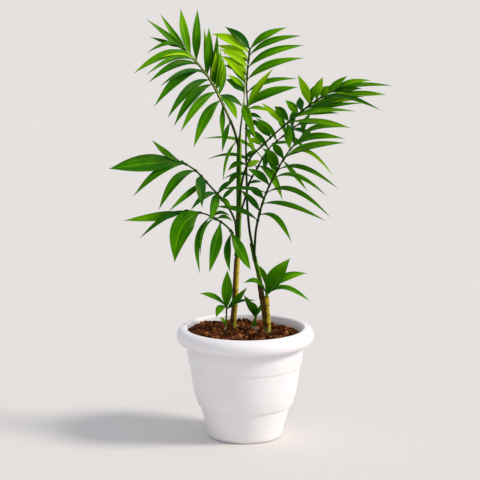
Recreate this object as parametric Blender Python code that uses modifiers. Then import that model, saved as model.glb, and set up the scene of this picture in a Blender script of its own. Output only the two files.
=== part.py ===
"""Potted palm in a plastic nursery pot, modelled in metres with +Z up.

The origin is the centre of the pot's base. The pot is turned, the soil fills it, two canes and
three young shoots stand in holes in the soil, and each frond is one node: a stalk with its
leaflets, fused, whose sheath is wrapped round the cane it grew from.
"""

import math
from collections import namedtuple

import bmesh
import bpy
from mathutils import Vector, noise

MM = 0.001
GAP = 0.35  # mm between neighbours
TURN_STEPS = 32  # facets round the pot

# Pot, in mm: an 8 inch nursery pot with a hollow rolled lip and two moulded step bands
FLOOR = 3.0
LIP_CENTRE = (88.0, 150.5)
LIP_OUTER = (11.8, 12.5)
LIP_WALL = 2.6
LIP_LOWEST_ANGLE = -46.0
OUTER_WALL = (
    (86.4, 155.0), (85.8, 138.0), (83.6, 120.0), (81.8, 108.4), (79.8, 104.0), (75.0, 70.0),
    (73.0, 62.0), (68.8, 50.0), (64.8, 45.0), (62.6, 37.0), (57.6, 19.0), (53.6, 4.6), (49.4, 0.0),
)
INNER_WALL = (
    (45.5, FLOOR), (49.5, 5.5), (59.8, 40.0), (65.4, 50.0), (71.4, 67.0), (78.6, 108.0),
    (81.6, 132.0), (83.4, 154.0), (84.4, 161.0),
)
DRAIN_HOLES = 6
DRAIN_RADIUS = 4.5
DRAIN_CIRCLE = 34.0

# Soil
SOIL_TOP = 153.0
SOIL_RIM = 82.85
SOIL_RINGS = (74.0, 61.0, 48.0, 35.0, 22.0, 10.0, 0.0)
SOIL_LUMP = 2.6
SOIL_LUMP_SIZE = 13.0
SOIL_TILT = 0.05  # the soil lies higher on the left, in mm for each mm

# Canes: centre lines from 50 mm under the soil, in mm, with the radius at each point
CANE_LEFT = (
    (-18, 31, 102), (-18, 31, 152), (-15, 27, 197), (-12, 20, 258), (-10, 14, 303),
    (-9, 9, 349), (-9, 4, 408), (-8, 2, 438),
)
CANE_LEFT_RADII = ((102, 4.6), (200, 4.5), (258, 4.2), (264, 2.9), (408, 2.7), (426, 2.3), (438, 0.9))
CANE_LEFT_SCARS = (166, 188, 212, 238)
CANE_RIGHT = ((33, 12, 102), (33, 12, 152), (31, 9, 186), (30, 7, 206))
CANE_RIGHT_RADII = ((102, 5.0), (206, 4.6))
CANE_RIGHT_SCARS = (164, 178, 193)
STEM_RIGHT = (
    (31, 12.5, 130), (29.5, 11.5, 160), (25, 8.3, 195), (23, 5.5, 216), (20, 3, 238), (15, 1, 259),
    (11.5, 0, 274),
)
STEM_RIGHT_RADII = ((130, 3.1), (190, 3.1), (216, 3.5), (232, 3.2), (237, 2.2), (274, 1.9))
CANE_STEPS = 40
RING_DISTANCE = 26  # mm between the rings of a cane that carry no scar
SCAR_HEIGHT = 1.8
SCAR_RISE = 0.5

# Leaflets
BLADE_THICKNESS = 0.7
BLADE_BENDS = ((95.0, 5), (50.0, 4), (0.0, 3))  # (from this length, how many bends)
FOLDED_WIDTH = 8.5  # from this width on, a leaflet has a folded midrib
STALK_STEPS = 14
SPROUT_STEPS = 8
BASE_WIDTH = 2.0
TIP_WIDTH = 0.9
FOLD = 0.16  # how far the two halves rise, as a share of the half width
SHEATH_WALL = 1.05
SHEATH_STEPS = 3

Frond = namedtuple("Frond", "name colour spine radii face sheath leaflets")
Leaflet = namedtuple("Leaflet", "place x z raised width arch")
Leaf = namedtuple("Leaf", "base tip bow width face")

DEEP_GREEN = (0.030, 0.130, 0.012)
LEAF_GREEN = (0.045, 0.190, 0.014)
LIGHT_GREEN = (0.120, 0.330, 0.020)

# Where the plant is seen from, in mm. A leaflet's tip is given as the x and z where it is seen in
# the upright plane through the pot's axis, and it lies on that line of sight.
VIEWPOINT = Vector((0.0, -4500.0, 1218.5))

# Each frond: name, colour, the stalk's centre line, its first and last radius, the way its upper
# side looks, and its sheath's cane, foot and mouth. Then each leaflet: its share along the stalk,
# its tip's x and z as seen, how far the tip is raised out of the frond, its width, and its arch as
# a share of its length. All in mm.
FRONDS = (
    Frond(
        "frond_low_left", DEEP_GREEN,
        ((-11.3, 17.5, 271), (-14, 10, 286), (-19, 5, 301), (-28, -6, 314), (-41, -16, 325),
         (-57, -22, 334), (-76, -26, 339), (-88, -27, 340)),
        (1.8, 0.9), (0.2, -0.95, 0.25), ("left", 264.0, 281.0),
        (
            (0.27, -22, 244, 28, 12, 0.16), (0.31, 8, 247, 32, 17, 0.18), (0.52, -52, 243, 0, 19, 0.03),
            (0.59, -18, 319, 8, 6, 0.2), (0.61, -65, 267, 6, 6, 0.24), (0.65, -22, 327, 0, 6, 0.2),
            (0.67, -65, 241, -6, 9, 0.22), (0.81, -102, 258, 0, 32, 0.24),
            (0.96, -153, 293, 12, 8, 0.1), (0.97, -176, 320, 0, 14, -0.04),
        ),
    ),
    Frond(
        "frond_mid_left", DEEP_GREEN,
        ((-10.5, 15, 287), (-13, 8, 302), (-15, 3, 319), (-23, -5, 338), (-38, -13, 359),
         (-54, -17, 378), (-71, -20, 397), (-92, -22, 411)),
        (1.8, 1.2), (0.25, -0.88, 0.38), ("left", 281.6, 297.0),
        (
            (0.47, -13, 369, 14, 7, 0.1), (0.50, -20, 339, 14, 8, 0.08), (0.54, -15, 380, 12, 8, 0.1),
            (0.55, -51, 319, 13, 15, 0.02), (0.55, -79, 335, 7, 9, 0.14), (0.70, -111, 333, 4, 9, 0.04),
            (0.77, -62, 339, 22, 17, 0.1), (0.84, -125, 335, 4, 14, 0.16),
            (0.95, -162, 355, 0, 12, 0.12), (0.99, -196, 396, 10, 29, 0),
            (0.99, -134, 438, 10, 10, -0.08),
        ),
    ),
    Frond(
        "frond_back_right", DEEP_GREEN,
        ((-9.7, 12.5, 312), (-6, 17, 330), (-1, 21, 346), (6, 26, 371), (16, 36, 388),
         (33, 46, 416), (52, 54, 432), (70, 60, 446), (76, 61, 450)),
        (1.7, 0.8), (-0.3, -0.8, 0.5), ("left", 297.6, 322.0),
        (
            (0.35, 24, 377, 4, 6, 0.05), (0.41, -32, 381, 4, 7, 0.12), (0.50, -55, 410, 7, 6, 0.15),
            (0.52, 54, 350, 6, 12, 0.12), (0.59, -61, 440, 8, 6, 0.13), (0.66, 27, 391, 5, 10, 0.03),
            (0.68, -3, 456, 5, 10, 0.08), (0.68, 45, 383, 4, 15, 0.04), (0.74, 66, 434, 6, 6, 0.03),
            (0.78, 15, 470, 4, 10, 0.08), (0.84, 87, 424, 4, 8, 0.1), (0.87, 44, 485, 4, 10, 0.08),
            (0.92, 102, 441, 4, 8, 0.1), (0.95, 74, 487, 3, 10, 0.08), (0.97, 110, 461, 4, 8, 0.1),
        ),
    ),
    Frond(
        "frond_upper_right", DEEP_GREEN,
        ((-9, 8, 350), (-6, 0, 370), (-2, -6, 389), (3, -10, 403), (10, -18, 419), (23, -26, 433),
         (43, -34, 454), (62, -39, 471), (94, -43, 498), (126, -45, 518), (132, -45, 521)),
        (1.8, 0.8), (-0.1, -0.85, 0.5), ("left", 322.6, 361.0),
        (
            (0.18, -25, 374, 6, 8, 0.14), (0.22, 22, 408, 6, 9, 0.05), (0.24, -25, 393, 7, 8, 0.2),
            (0.34, 7, 443, 6, 9, 0.08), (0.41, 5, 440, 9, 8, 0.12), (0.49, 13, 461, 4, 11, 0.08),
            (0.60, 23, 492, 9, 9, 0.04), (0.63, 64, 424, 10, 13, 0.03), (0.63, 150, 456, 9, 9, 0.04),
            (0.64, 42, 487, 10, 14, 0.05), (0.67, 159, 480, 14, 8, 0.05), (0.70, 136, 477, 3, 7, 0.02),
            (0.71, 57, 496, 8, 12, 0.06), (0.72, 171, 492, 6, 8, 0.02), (0.74, 78, 501, 2, 12, 0.03),
            (0.76, 163, 497, 12, 8, 0.02), (0.80, 75, 533, 12, 13, 0.05), (0.80, 100, 518, 3, 13, 0.03),
            (0.85, 111, 529, 10, 14, 0.04), (0.85, 195, 481, 22, 8, 0.15),
            (0.88, 121, 517, 3, 13, 0.03), (0.90, 202, 504, 4, 9, 0.06), (0.91, 146, 531, 9, 12, 0.05),
            (0.96, 180, 525, 4, 9, 0.07), (0.98, 210, 517, 12, 8, 0.09),
        ),
    ),
    Frond(
        "frond_top_left", DEEP_GREEN,
        ((-8.8, 3, 420), (-11, -2, 434), (-17, -10, 457), (-30, -16, 488), (-46, -20, 522),
         (-66, -20, 550), (-87, -16, 573), (-94, -14, 579)),
        (2.0, 1.2), (0.45, -0.85, 0.25), ("left", 361.6, 430.0),
        (
            (0.10, -32, 378, 5, 6, 0.14), (0.27, -33, 420, 0, 9, 0.1), (0.42, -33, 440, 5, 9, 0.05),
            (0.46, -74, 427, 0, 16, 0.12), (0.49, -12, 468, 13, 13, 0.1), (0.50, -31, 558, 18, 9, 0),
            (0.53, -93, 449, 6, 13, 0.12), (0.58, -35, 567, 20, 11, 0.02),
            (0.60, -103, 457, 0, 13, 0.12), (0.61, -33, 558, 12, 16, 0.03),
            (0.62, -42, 567, 18, 9, 0.02), (0.64, -112, 469, 10, 13, 0.12),
            (0.64, -40, 593, 18, 11, 0.03), (0.68, -52, 601, 16, 14, 0), (0.69, -123, 515, 22, 7, 0.12),
            (0.70, -59, 599, 8, 10, 0.02), (0.73, -131, 486, 0, 14, 0.12),
            (0.78, -139, 521, 9, 11, 0.12), (0.81, -68, 627, 7, 14, -0.03),
            (0.82, -142, 532, 19, 8, 0.12), (0.85, -160, 534, 0, 14, 0.14),
            (0.87, -92, 628, 6, 14, -0.05), (0.92, -141, 564, 9, 7, 0.18),
            (0.94, -121, 620, 5, 10, -0.06), (0.96, -136, 587, 0, 8, -0.03),
            (0.96, -141, 613, 6, 10, -0.06),
        ),
    ),
    Frond(
        "frond_young_top", LIGHT_GREEN,
        ((-8.2, 2.4, 434), (-7.6, 1.2, 446), (-6.4, -0.5, 458), (-4.8, -2, 471), (-3.4, -3, 482),
         (-1.9, -4, 496), (-0.9, -5, 511), (0.5, -5.5, 525), (1.4, -5.5, 537)),
        (1.5, 0.6), (0.2, -0.9, 0.3), ("left", 430.6, 443.0),
        (
            (0.56, 16, 440, 8, 14, -0.03), (0.71, -28, 526, 6, 11, 0.1), (0.78, -26, 533, 3, 6, 0.05),
            (0.87, -34, 560, 3, 8, 0.06),
        ),
    ),
    Frond(
        "frond_right", DEEP_GREEN,
        ((15.3, 1.1, 257), (13.4, -3.5, 272), (14, -6, 288), (16, -8, 311), (23, -12, 342),
         (31, -16, 366), (42, -18, 390), (57, -19, 417), (69, -18, 433), (83, -15, 446), (92, -12, 453)),
        (2.0, 0.9), (-0.35, -0.8, 0.5), ("right", 236.0, 264.0),
        (
            (0.30, -44, 341, 41, 8, 0.1), (0.34, 67, 288, 6, 9, 0.22), (0.36, -7, 365, 19, 11, 0.1),
            (0.42, 117, 319, 10, 8, 0.07), (0.45, 2, 370, 18, 11, 0.12), (0.50, -38, 366, 47, 6, 0.05),
            (0.50, 124, 324, 0, 8, 0.16), (0.55, 3, 396, 27, 12, 0.12), (0.60, 119, 355, 14, 7, 0.14),
            (0.66, 30, 414, 8, 10, 0.08), (0.67, 135, 366, 0, 7.5, 0.13), (0.69, 24, 426, 8, 11, 0.12),
            (0.74, 90, 363, 12, 7, 0.02), (0.75, 38, 434, 7, 12, 0.05), (0.76, 128, 384, 0, 6, 0.24),
            (0.76, 143, 434, 11, 13, 0.05), (0.83, 143, 440, 0, 13, 0.12), (0.87, 64, 461, 3, 9, 0.12),
            (0.90, 152, 456, 7, 10, 0.14), (0.95, 96, 479, 3, 9, 0.12),
        ),
    ),
    Frond(
        "frond_top_centre", LEAF_GREEN,
        ((11.6, 0, 274), (9, 1, 290), (6, 2, 307), (3, 4, 341), (2, 6, 379), (1, 8, 435),
         (2, 10, 465), (3, 14, 488), (2, 18, 511), (3, 22, 533), (6, 30, 561), (7, 33, 567)),
        (2.0, 0.8), (0.1, -0.9, 0.4), ("right", 264.6, 283.0),
        (
            (0.46, 15, 422, 6, 8, 0.1), (0.70, 38, 478, 8, 6, 0.1), (0.70, 40, 542, 15, 11, 0.07),
            (0.71, 76, 515, 4, 14, 0.09), (0.78, 75, 527, 4, 8, 0.09), (0.84, 84, 557, 5, 12, 0.09),
            (0.87, -35, 560, 0, 9, 0.07), (0.90, 84, 575, 5, 12, 0.09), (0.94, -41, 575, 0, 10, 0.07),
            (0.96, 81, 589, 4, 10, 0.09), (0.97, -48, 592, 3, 13, 0.07), (0.99, -29, 602, 7, 14, 0.05),
            (0.99, 60, 601, 3, 11, 0.09),
        ),
    ),
)

# Young shoots, in mm: a short stem and the leaves that leave it
SPROUT_LEFT_STEM = ((-29, 12, 112), (-29, 12, 152), (-27.5, 11, 172), (-27, 10, 194))
SPROUT_LEFT_RADII = ((112, 1.7), (194, 1.2))
SPROUT_LEFT_LEAVES = (
    Leaf((-27, 10, 188), (-26, 12, 245), (0, -3, 0), 17, (0, -1, 0.1)),
    Leaf((-27, 10, 190), (-66, 2, 212), (0, 0, 5), 9, (0, -0.7, 0.7)),
    Leaf((-27, 10, 190), (-42, -6, 178), (-2, -3, 5), 12, (-0.2, -0.7, 0.6)),
    Leaf((-27, 10, 187), (3, -1, 222), (0, 0, -2), 10, (0.1, -0.8, 0.4)),
    Leaf((-27, 10, 187), (15, -4, 203), (0, 0, 4), 7, (0, -0.5, 0.8)),
    Leaf((-28.2, 11.5, 163), (-37, 4, 175), (0, 0, 2), 6, (0, -0.7, 0.7)),
)
SPROUT_CENTRE_STEM = ((14, 18, 122), (14, 18, 148), (14.2, 18, 158), (15, 18, 170), (15.5, 18, 180))
SPROUT_CENTRE_RADII = ((122, 2.4), (150, 3.1), (162, 2.3), (180, 1.5))
SPROUT_CENTRE_SECOND = ((9.5, 16.5, 130), (9.8, 16.5, 150), (11.5, 17, 162), (14.8, 17.8, 174))
SPROUT_CENTRE_SECOND_RADII = ((130, 1.6), (174, 1.2))
SPROUT_CENTRE_LEAVES = (
    Leaf((15, 18, 172), (-2, 10, 208), (0, -2, 2), 10, (0.3, -0.9, 0.2)),
    Leaf((15, 18, 174), (24, 22, 193), (1, 0, 0), 6, (-0.2, -0.9, 0.2)),
    Leaf((15, 18, 173), (6, 16, 198), (3, -3, 3), 8, (0.4, -0.8, 0.3)),
)
SPROUT_RIGHT_STEM = ((31.2, 6.4, 206.4), (31.2, 6, 212), (31.4, 5.5, 220))
SPROUT_RIGHT_RADII = ((206, 2.4), (220, 1.4))
SPROUT_RIGHT_LEAVES = (
    Leaf((31.3, 6, 210), (65, -10, 267), (-4, -4, 0), 24, (-0.1, -0.9, 0.3)),
    Leaf((31.3, 6, 212), (90, 16, 239), (0, 0, 8), 13, (-0.2, -0.8, 0.5)),
    Leaf((31.3, 6, 211), (69, 24, 218), (0, 0, 4), 5, (0, -0.7, 0.7)),
    Leaf((31.3, 6, 209), (94, -12, 203), (0, 0, 13), 9, (0, -0.6, 0.8)),
    Leaf((31.3, 6.5, 214), (17, 24, 251), (4, 4, 3), 9, (-0.3, -0.9, 0.2)),
    Leaf((31.3, 5, 210), (-2, -14, 231), (0, -7, 13), 8, (0.1, -0.8, 0.5)),
)


def clear_scene():
    for obj in list(bpy.data.objects):
        bpy.data.objects.remove(obj, do_unlink=True)


def new_collection(name):
    collection = bpy.data.collections.new(name)
    bpy.context.scene.collection.children.link(collection)
    return collection


def make_material(name, colour, roughness, metallic=0.0):
    material = bpy.data.materials.new(name)
    material.use_nodes = True
    shader = material.node_tree.nodes["Principled BSDF"]
    shader.inputs["Base Color"].default_value = (*colour, 1.0)
    shader.inputs["Roughness"].default_value = roughness
    shader.inputs["Metallic"].default_value = metallic
    return material


def dress(obj, material):
    obj.data.materials.clear()
    obj.data.materials.append(material)
    obj.data.shade_smooth()
    obj.data.set_sharp_from_angle(angle=math.radians(35))


def object_from_bmesh(name, bm, collection):
    mesh = bpy.data.meshes.new(name)
    bm.to_mesh(mesh)
    bm.free()
    obj = bpy.data.objects.new(name, mesh)
    collection.objects.link(obj)
    return obj


def settled(obj):
    """Swaps the object's mesh for what its modifiers make of it."""
    graph = bpy.context.evaluated_depsgraph_get()
    obj.data = bpy.data.meshes.new_from_object(obj.evaluated_get(graph))
    obj.modifiers.clear()
    return obj


def spread_over(values, index, count):
    """The value at one of count even steps along a short list of values."""
    place = index / max(count - 1, 1) * (len(values) - 1)
    low = min(int(place), max(len(values) - 2, 0))
    high = min(low + 1, len(values) - 1)
    return values[low] + (values[high] - values[low]) * (place - low)


def radius_at(radii, height):
    """The radius at a height, read between (height, radius) pairs."""
    for (low, first), (high, second) in zip(radii, radii[1:]):
        if height <= high:
            share = max(height - low, 0.0) / (high - low)
            return first + (second - first) * share
    return radii[-1][1]


def smooth_path(points, steps):
    """Points at even distances along a smooth curve through the given ones."""
    points = [Vector(p) for p in points]
    ends = [2 * points[0] - points[1], *points, 2 * points[-1] - points[-2]]
    fine = []
    for a, b, c, d in zip(ends, ends[1:], ends[2:], ends[3:]):
        for k in range(12):
            t = k / 12
            fine.append(
                0.5 * (2 * b + (c - a) * t + (2 * a - 5 * b + 4 * c - d) * t * t
                       + (3 * b - a - 3 * c + d) * t ** 3)
            )
    fine.append(points[-1])
    lengths = [0.0]
    for a, b in zip(fine, fine[1:]):
        lengths.append(lengths[-1] + (b - a).length)
    path = []
    for k in range(steps + 1):
        wanted = lengths[-1] * k / steps
        i = next((n for n in range(1, len(fine)) if lengths[n] >= wanted - 1e-9), len(fine) - 1)
        share = (wanted - lengths[i - 1]) / (lengths[i] - lengths[i - 1])
        path.append(fine[i - 1].lerp(fine[i], share))
    return path


def at_height(path, height):
    """The point of a rising path at a height."""
    for a, b in zip(path, path[1:]):
        if height <= b.z:
            return a.lerp(b, (height - a.z) / (b.z - a.z))
    return path[-1].copy()


def tube(name, path, radii, collection, resolution=1):
    """A round rod along a path, in mm, as a closed mesh."""
    curve = bpy.data.curves.new(name, "CURVE")
    curve.dimensions = "3D"
    curve.bevel_depth = MM
    curve.bevel_resolution = resolution
    curve.use_fill_caps = True
    spline = curve.splines.new("POLY")
    spline.points.add(len(path) - 1)
    for point, place, radius in zip(spline.points, path, radii):
        point.co = (*(place * MM), 1.0)
        point.radius = radius
    rod = bpy.data.objects.new(name, curve)
    collection.objects.link(rod)
    graph = bpy.context.evaluated_depsgraph_get()
    mesh = bpy.data.meshes.new_from_object(rod.evaluated_get(graph))
    bpy.data.objects.remove(rod, do_unlink=True)
    bm = bmesh.new()
    bm.from_mesh(mesh)
    bpy.data.meshes.remove(mesh)
    bmesh.ops.remove_doubles(bm, verts=bm.verts, dist=0.00001)
    bmesh.ops.recalc_face_normals(bm, faces=bm.faces)
    return object_from_bmesh(name, bm, collection)


def blade_share(s):
    """Half width of a leaflet along its length, as a share of its widest."""
    return math.sin(math.pi * s ** 0.9) ** 0.9 if 0 < s < 1 else 0.0


def blade(name, base, tip, bow, width, face, collection):
    """One blade: its midrib bows from base to tip, and its upper side looks along face."""
    bends = next(n for from_length, n in BLADE_BENDS if (tip - base).length >= from_length)
    halves = 2 if width >= FOLDED_WIDTH else 1
    bm = bmesh.new()
    bmesh.ops.create_grid(bm, x_segments=bends, y_segments=halves, size=1.0)
    for vert in bm.verts:
        s, u = (vert.co.x + 1) / 2, vert.co.y
        along = (tip - base) + bow * 4 * (1 - 2 * s)
        across = face.cross(along).normalized()
        up = along.cross(across).normalized()
        narrowest = BASE_WIDTH + (TIP_WIDTH - BASE_WIDTH) * s
        half = max(width * blade_share(s), narrowest) / 2
        place = base + (tip - base) * s + bow * 4 * s * (1 - s)
        place += across * half * u + up * half * abs(u) * FOLD
        vert.co = place * MM
    bmesh.ops.triangulate(bm, faces=bm.faces)
    obj = object_from_bmesh(name, bm, collection)
    solidify = obj.modifiers.new("thickness", "SOLIDIFY")
    solidify.thickness = BLADE_THICKNESS * MM
    solidify.offset = 0.0


def fuse(name, body, pieces, collection):
    """Joins the pieces of a collection to the body and removes them."""
    union = body.modifiers.new("fuse", "BOOLEAN")
    union.operation = "UNION"
    union.operand_type = "COLLECTION"
    union.collection = pieces
    union.solver = "EXACT"
    settled(body)
    for piece in list(pieces.objects):
        bpy.data.objects.remove(piece, do_unlink=True)
    bpy.data.collections.remove(pieces)
    body.name = name
    if body.name not in collection.objects:
        collection.objects.link(body)
    return body


def cut(body, cutter):
    """Takes the cutter's shape out of the body."""
    difference = body.modifiers.new(f"clear of {cutter.name}", "BOOLEAN")
    difference.operation = "DIFFERENCE"
    difference.object = cutter
    difference.solver = "EXACT"
    settled(body)


def turned(name, profile, collection):
    """A solid turned from a profile in mm that starts and ends on the axis."""
    bm = bmesh.new()
    verts = [bm.verts.new((r * MM, 0.0, z * MM)) for r, z in profile]
    for a, b in zip(verts, verts[1:]):
        bm.edges.new((a, b))
    obj = object_from_bmesh(name, bm, collection)
    screw = obj.modifiers.new("turn", "SCREW")
    screw.steps = screw.render_steps = TURN_STEPS
    screw.use_merge_vertices = True
    screw.merge_threshold = 0.00001
    return settled(obj)


def as_cutter(obj):
    obj.hide_render = True
    obj.display_type = "WIRE"
    return obj


def clearance(name, path, radii, cutters, resolution):
    """A rod as large as the one it clears, plus the gap all round."""
    first = path[0] + (path[0] - path[1]).normalized() * GAP
    last = path[-1] + (path[-1] - path[-2]).normalized() * GAP
    wider = [radius + GAP for radius in radii]
    return as_cutter(tube(name, [first, *path[1:-1], last], wider, cutters, resolution))


def lip_arc(inset, angles):
    """Points of the rolled lip, inset from its outer skin."""
    (x, z), (a, b) = LIP_CENTRE, LIP_OUTER
    return [
        (x + (a - inset) * math.cos(math.radians(t)), z + (b - inset) * math.sin(math.radians(t)))
        for t in angles
    ]


def make_pot(collection, cutters):
    outer = lip_arc(0.0, (90, 62, 34, 8, -20, LIP_LOWEST_ANGLE))
    inner = lip_arc(LIP_WALL, (LIP_LOWEST_ANGLE, -10, 35, 80))
    profile = [(0.0, FLOOR), *INNER_WALL, *outer, *inner, *OUTER_WALL, (0.0, 0.0)]
    pot = turned("pot", profile, collection)
    for k in range(DRAIN_HOLES):
        turn = 2 * math.pi * (k + 0.5) / DRAIN_HOLES
        bpy.ops.mesh.primitive_cylinder_add(
            vertices=12, radius=DRAIN_RADIUS * MM, depth=4 * FLOOR * MM,
            location=(DRAIN_CIRCLE * MM * math.cos(turn), DRAIN_CIRCLE * MM * math.sin(turn), 0),
        )
        hole = bpy.context.object
        hole.name = f"drain_hole_{k + 1}"
        hole.users_collection[0].objects.unlink(hole)
        cutters.objects.link(hole)
        cut(pot, as_cutter(hole))
    return pot


def soil_height(x, y):
    """Height of the lumpy soil surface at a place, in mm."""
    place = Vector((x, y, 0.0)) / SOIL_LUMP_SIZE
    return SOIL_TOP - SOIL_TILT * x + SOIL_LUMP * noise.noise(place)


def make_soil(collection, clearances):
    sides = [(r - GAP, z + (GAP if z <= FLOOR else 0.0)) for r, z in INNER_WALL if z < SOIL_TOP]
    top = [(r, SOIL_TOP) for r in (SOIL_RIM, *SOIL_RINGS)]
    profile = [(0.0, FLOOR + GAP), *sides, *top]
    soil = turned("soil", profile[::-1], collection)
    bm = bmesh.new()
    bm.from_mesh(soil.data)
    for vert in bm.verts:
        if vert.co.z > (SOIL_TOP - 1) * MM:
            vert.co.z = soil_height(vert.co.x / MM, vert.co.y / MM) * MM
    bmesh.ops.triangulate(bm, faces=bm.faces)
    bm.to_mesh(soil.data)
    bm.free()
    for cutter in clearances:
        cut(soil, cutter)
    return soil


def cane_path(points, radii, scars):
    """Centre line and radii of a cane, with a low ring where each old leaf was."""
    path = smooth_path(points, CANE_STEPS)
    low, high = path[0].z, path[-1].z
    heights = {low, high, *(h for h, _ in radii), *range(int(low) + 18, int(high) - 6, RING_DISTANCE)}
    for scar in scars:
        heights = {h for h in heights if abs(h - scar) > 2 * SCAR_HEIGHT}
        heights |= {scar - SCAR_HEIGHT, scar, scar + SCAR_HEIGHT}
    heights = sorted(h for h in heights if low <= h <= high)
    rings = [radius_at(radii, h) + (SCAR_RISE if h in scars else 0.0) for h in heights]
    return [at_height(path, h) for h in heights], rings


def make_cane(name, lines, collection, cutters):
    """A cane of one or two fused rods, and the rods that clear it."""
    rods, clear = [], []
    for n, (points, radii, scars) in enumerate(lines):
        path, rings = cane_path(points, radii, scars)
        rods.append((path, rings))
        clear.append(clearance(f"{name}_clearance_{n + 1}", path, rings, cutters, 2))
    cane = tube(name, *rods[0], collection, 2)
    if len(rods) > 1:
        pieces = new_collection(f"{name}_pieces")
        for path, rings in rods[1:]:
            tube(f"{name}_rod", path, rings, pieces, 2)
        fuse(name, cane, pieces, collection)
    return cane, clear


def point_along(path, share):
    """The point at a share of the path, and the direction of the path there."""
    place = share * (len(path) - 1)
    low = min(int(place), len(path) - 2)
    ahead = path[min(low + 2, len(path) - 1)] - path[max(low - 1, 0)]
    return path[low].lerp(path[low + 1], place - low), ahead.normalized()


def leaflet_tip(leaflet, base, normal):
    """The tip on its line of sight, where it is raised as far as it should be out of the frond."""
    sight = Vector((leaflet.x, 0.0, leaflet.z)) - VIEWPOINT
    share = ((base - VIEWPOINT).dot(normal) + leaflet.raised) / sight.dot(normal)
    return VIEWPOINT + sight * share


def frond_leaflets(frond, path, pieces):
    """Places a frond's leaflets along its stalk."""
    face = Vector(frond.face).normalized()
    for n, values in enumerate(frond.leaflets):
        leaflet = Leaflet(*values)
        base, ahead = point_along(path, leaflet.place)
        normal = (face - ahead * face.dot(ahead)).normalized()
        tip = leaflet_tip(leaflet, base, normal)
        way = (tip - base).normalized()
        side = normal.cross(ahead)
        side *= 1 if side.dot(way) > 0 else -1
        rise = Vector((0, 0, 1)) + 0.5 * side
        rise = (rise - way * rise.dot(way)).normalized()
        bow = rise * (tip - base).length * leaflet.arch
        upper = (0.8 * normal + 0.4 * (1 - abs(way.z)) * rise).normalized()
        blade(f"leaflet_{n + 1}", base, tip, bow, leaflet.width, upper, pieces)


def make_frond(frond, cane_lines, clear, below, collection, cutters):
    """A stalk with its leaflets and its sheath, cleared of the cane and of the stalk below."""
    path = smooth_path(frond.spine, STALK_STEPS)
    radii = [spread_over(frond.radii, k, len(path)) for k in range(len(path))]
    stalk = tube(f"{frond.name}_stalk", path, radii, collection)
    pieces = new_collection(f"{frond.name}_pieces")
    frond_leaflets(frond, path, pieces)
    cane, low, high = frond.sheath
    points, cane_radii = cane_lines[cane]
    centre = smooth_path(points, CANE_STEPS)
    heights = [low + (high - low) * k / SHEATH_STEPS for k in range(SHEATH_STEPS + 1)]
    sleeve = [at_height(centre, h) for h in heights]
    if high > centre[-1].z:
        sleeve[-1] = centre[-1] + (centre[-1] - centre[-2]).normalized() * (high - centre[-1].z)
    widths = [radius_at(cane_radii, h) + SHEATH_WALL for h in heights]
    widths[0] = min(widths[0], widths[1])
    tube("sheath", sleeve, widths, pieces, 2)
    body = fuse(frond.name, stalk, pieces, collection)
    for cutter in clear:
        cut(body, cutter)
    if below:
        cut(body, below)
    near = clearance(f"{frond.name}_stalk_clearance", path[:5], radii[:5], cutters, 1)
    return body, near


def make_sprout(name, stems, leaves, collection, cutters):
    """A young shoot: its stems and leaves, fused, and the rods that clear the stems."""
    pieces = new_collection(f"{name}_pieces")
    clear = []
    for n, (points, radii) in enumerate(stems):
        path = smooth_path(points, SPROUT_STEPS)
        widths = [radius_at(radii, p.z) for p in path]
        home = pieces if n else collection
        rod = tube(f"{name}_stem", path, widths, home)
        body = body if n else rod
        clear.append(clearance(f"{name}_clearance_{n + 1}", path, widths, cutters, 1))
    for n, leaf in enumerate(leaves):
        base, tip, bow, face = (Vector(v) for v in (leaf.base, leaf.tip, leaf.bow, leaf.face))
        blade(f"leaf_{n + 1}", base, tip, bow, leaf.width, face.normalized(), pieces)
    return fuse(name, body, pieces, collection), clear


def main():
    clear_scene()
    plant = new_collection("potted_areca_palm")
    cutters = new_collection("cutters")
    white = make_material("white_plastic", (0.80, 0.78, 0.76), 0.42)
    earth = make_material("potting_soil", (0.085, 0.028, 0.012), 0.95)
    bark = make_material("cane_bark", (0.30, 0.19, 0.04), 0.55)
    dress(make_pot(plant, cutters), white)

    left_cane, clear_left = make_cane(
        "cane_left", ((CANE_LEFT, CANE_LEFT_RADII, CANE_LEFT_SCARS),), plant, cutters
    )
    right_cane, clear_right = make_cane(
        "cane_right",
        ((CANE_RIGHT, CANE_RIGHT_RADII, CANE_RIGHT_SCARS), (STEM_RIGHT, STEM_RIGHT_RADII, ())),
        plant, cutters,
    )
    dress(left_cane, bark)
    dress(right_cane, bark)

    sprouts = (
        ("sprout_left", ((SPROUT_LEFT_STEM, SPROUT_LEFT_RADII),), SPROUT_LEFT_LEAVES),
        ("sprout_centre",
         ((SPROUT_CENTRE_STEM, SPROUT_CENTRE_RADII),
          (SPROUT_CENTRE_SECOND, SPROUT_CENTRE_SECOND_RADII)), SPROUT_CENTRE_LEAVES),
        ("sprout_right", ((SPROUT_RIGHT_STEM, SPROUT_RIGHT_RADII),), SPROUT_RIGHT_LEAVES),
    )
    standing = [*clear_left, *clear_right]
    for name, stems, leaves in sprouts:
        body, clear = make_sprout(name, stems, leaves, plant, cutters)
        dress(body, make_material(f"{name}_green", LEAF_GREEN, 0.4))
        standing += clear
    dress(make_soil(plant, standing), earth)

    cane_lines = {"left": (CANE_LEFT, CANE_LEFT_RADII), "right": (STEM_RIGHT, STEM_RIGHT_RADII)}
    clear_of = {"left": clear_left, "right": clear_right}
    below = {"left": None, "right": None}
    for frond in FRONDS:
        cane = frond.sheath[0]
        body, near = make_frond(frond, cane_lines, clear_of[cane], below[cane], plant, cutters)
        dress(body, make_material(f"{frond.name}_green", frond.colour, 0.38))
        below[cane] = near


main()
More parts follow.
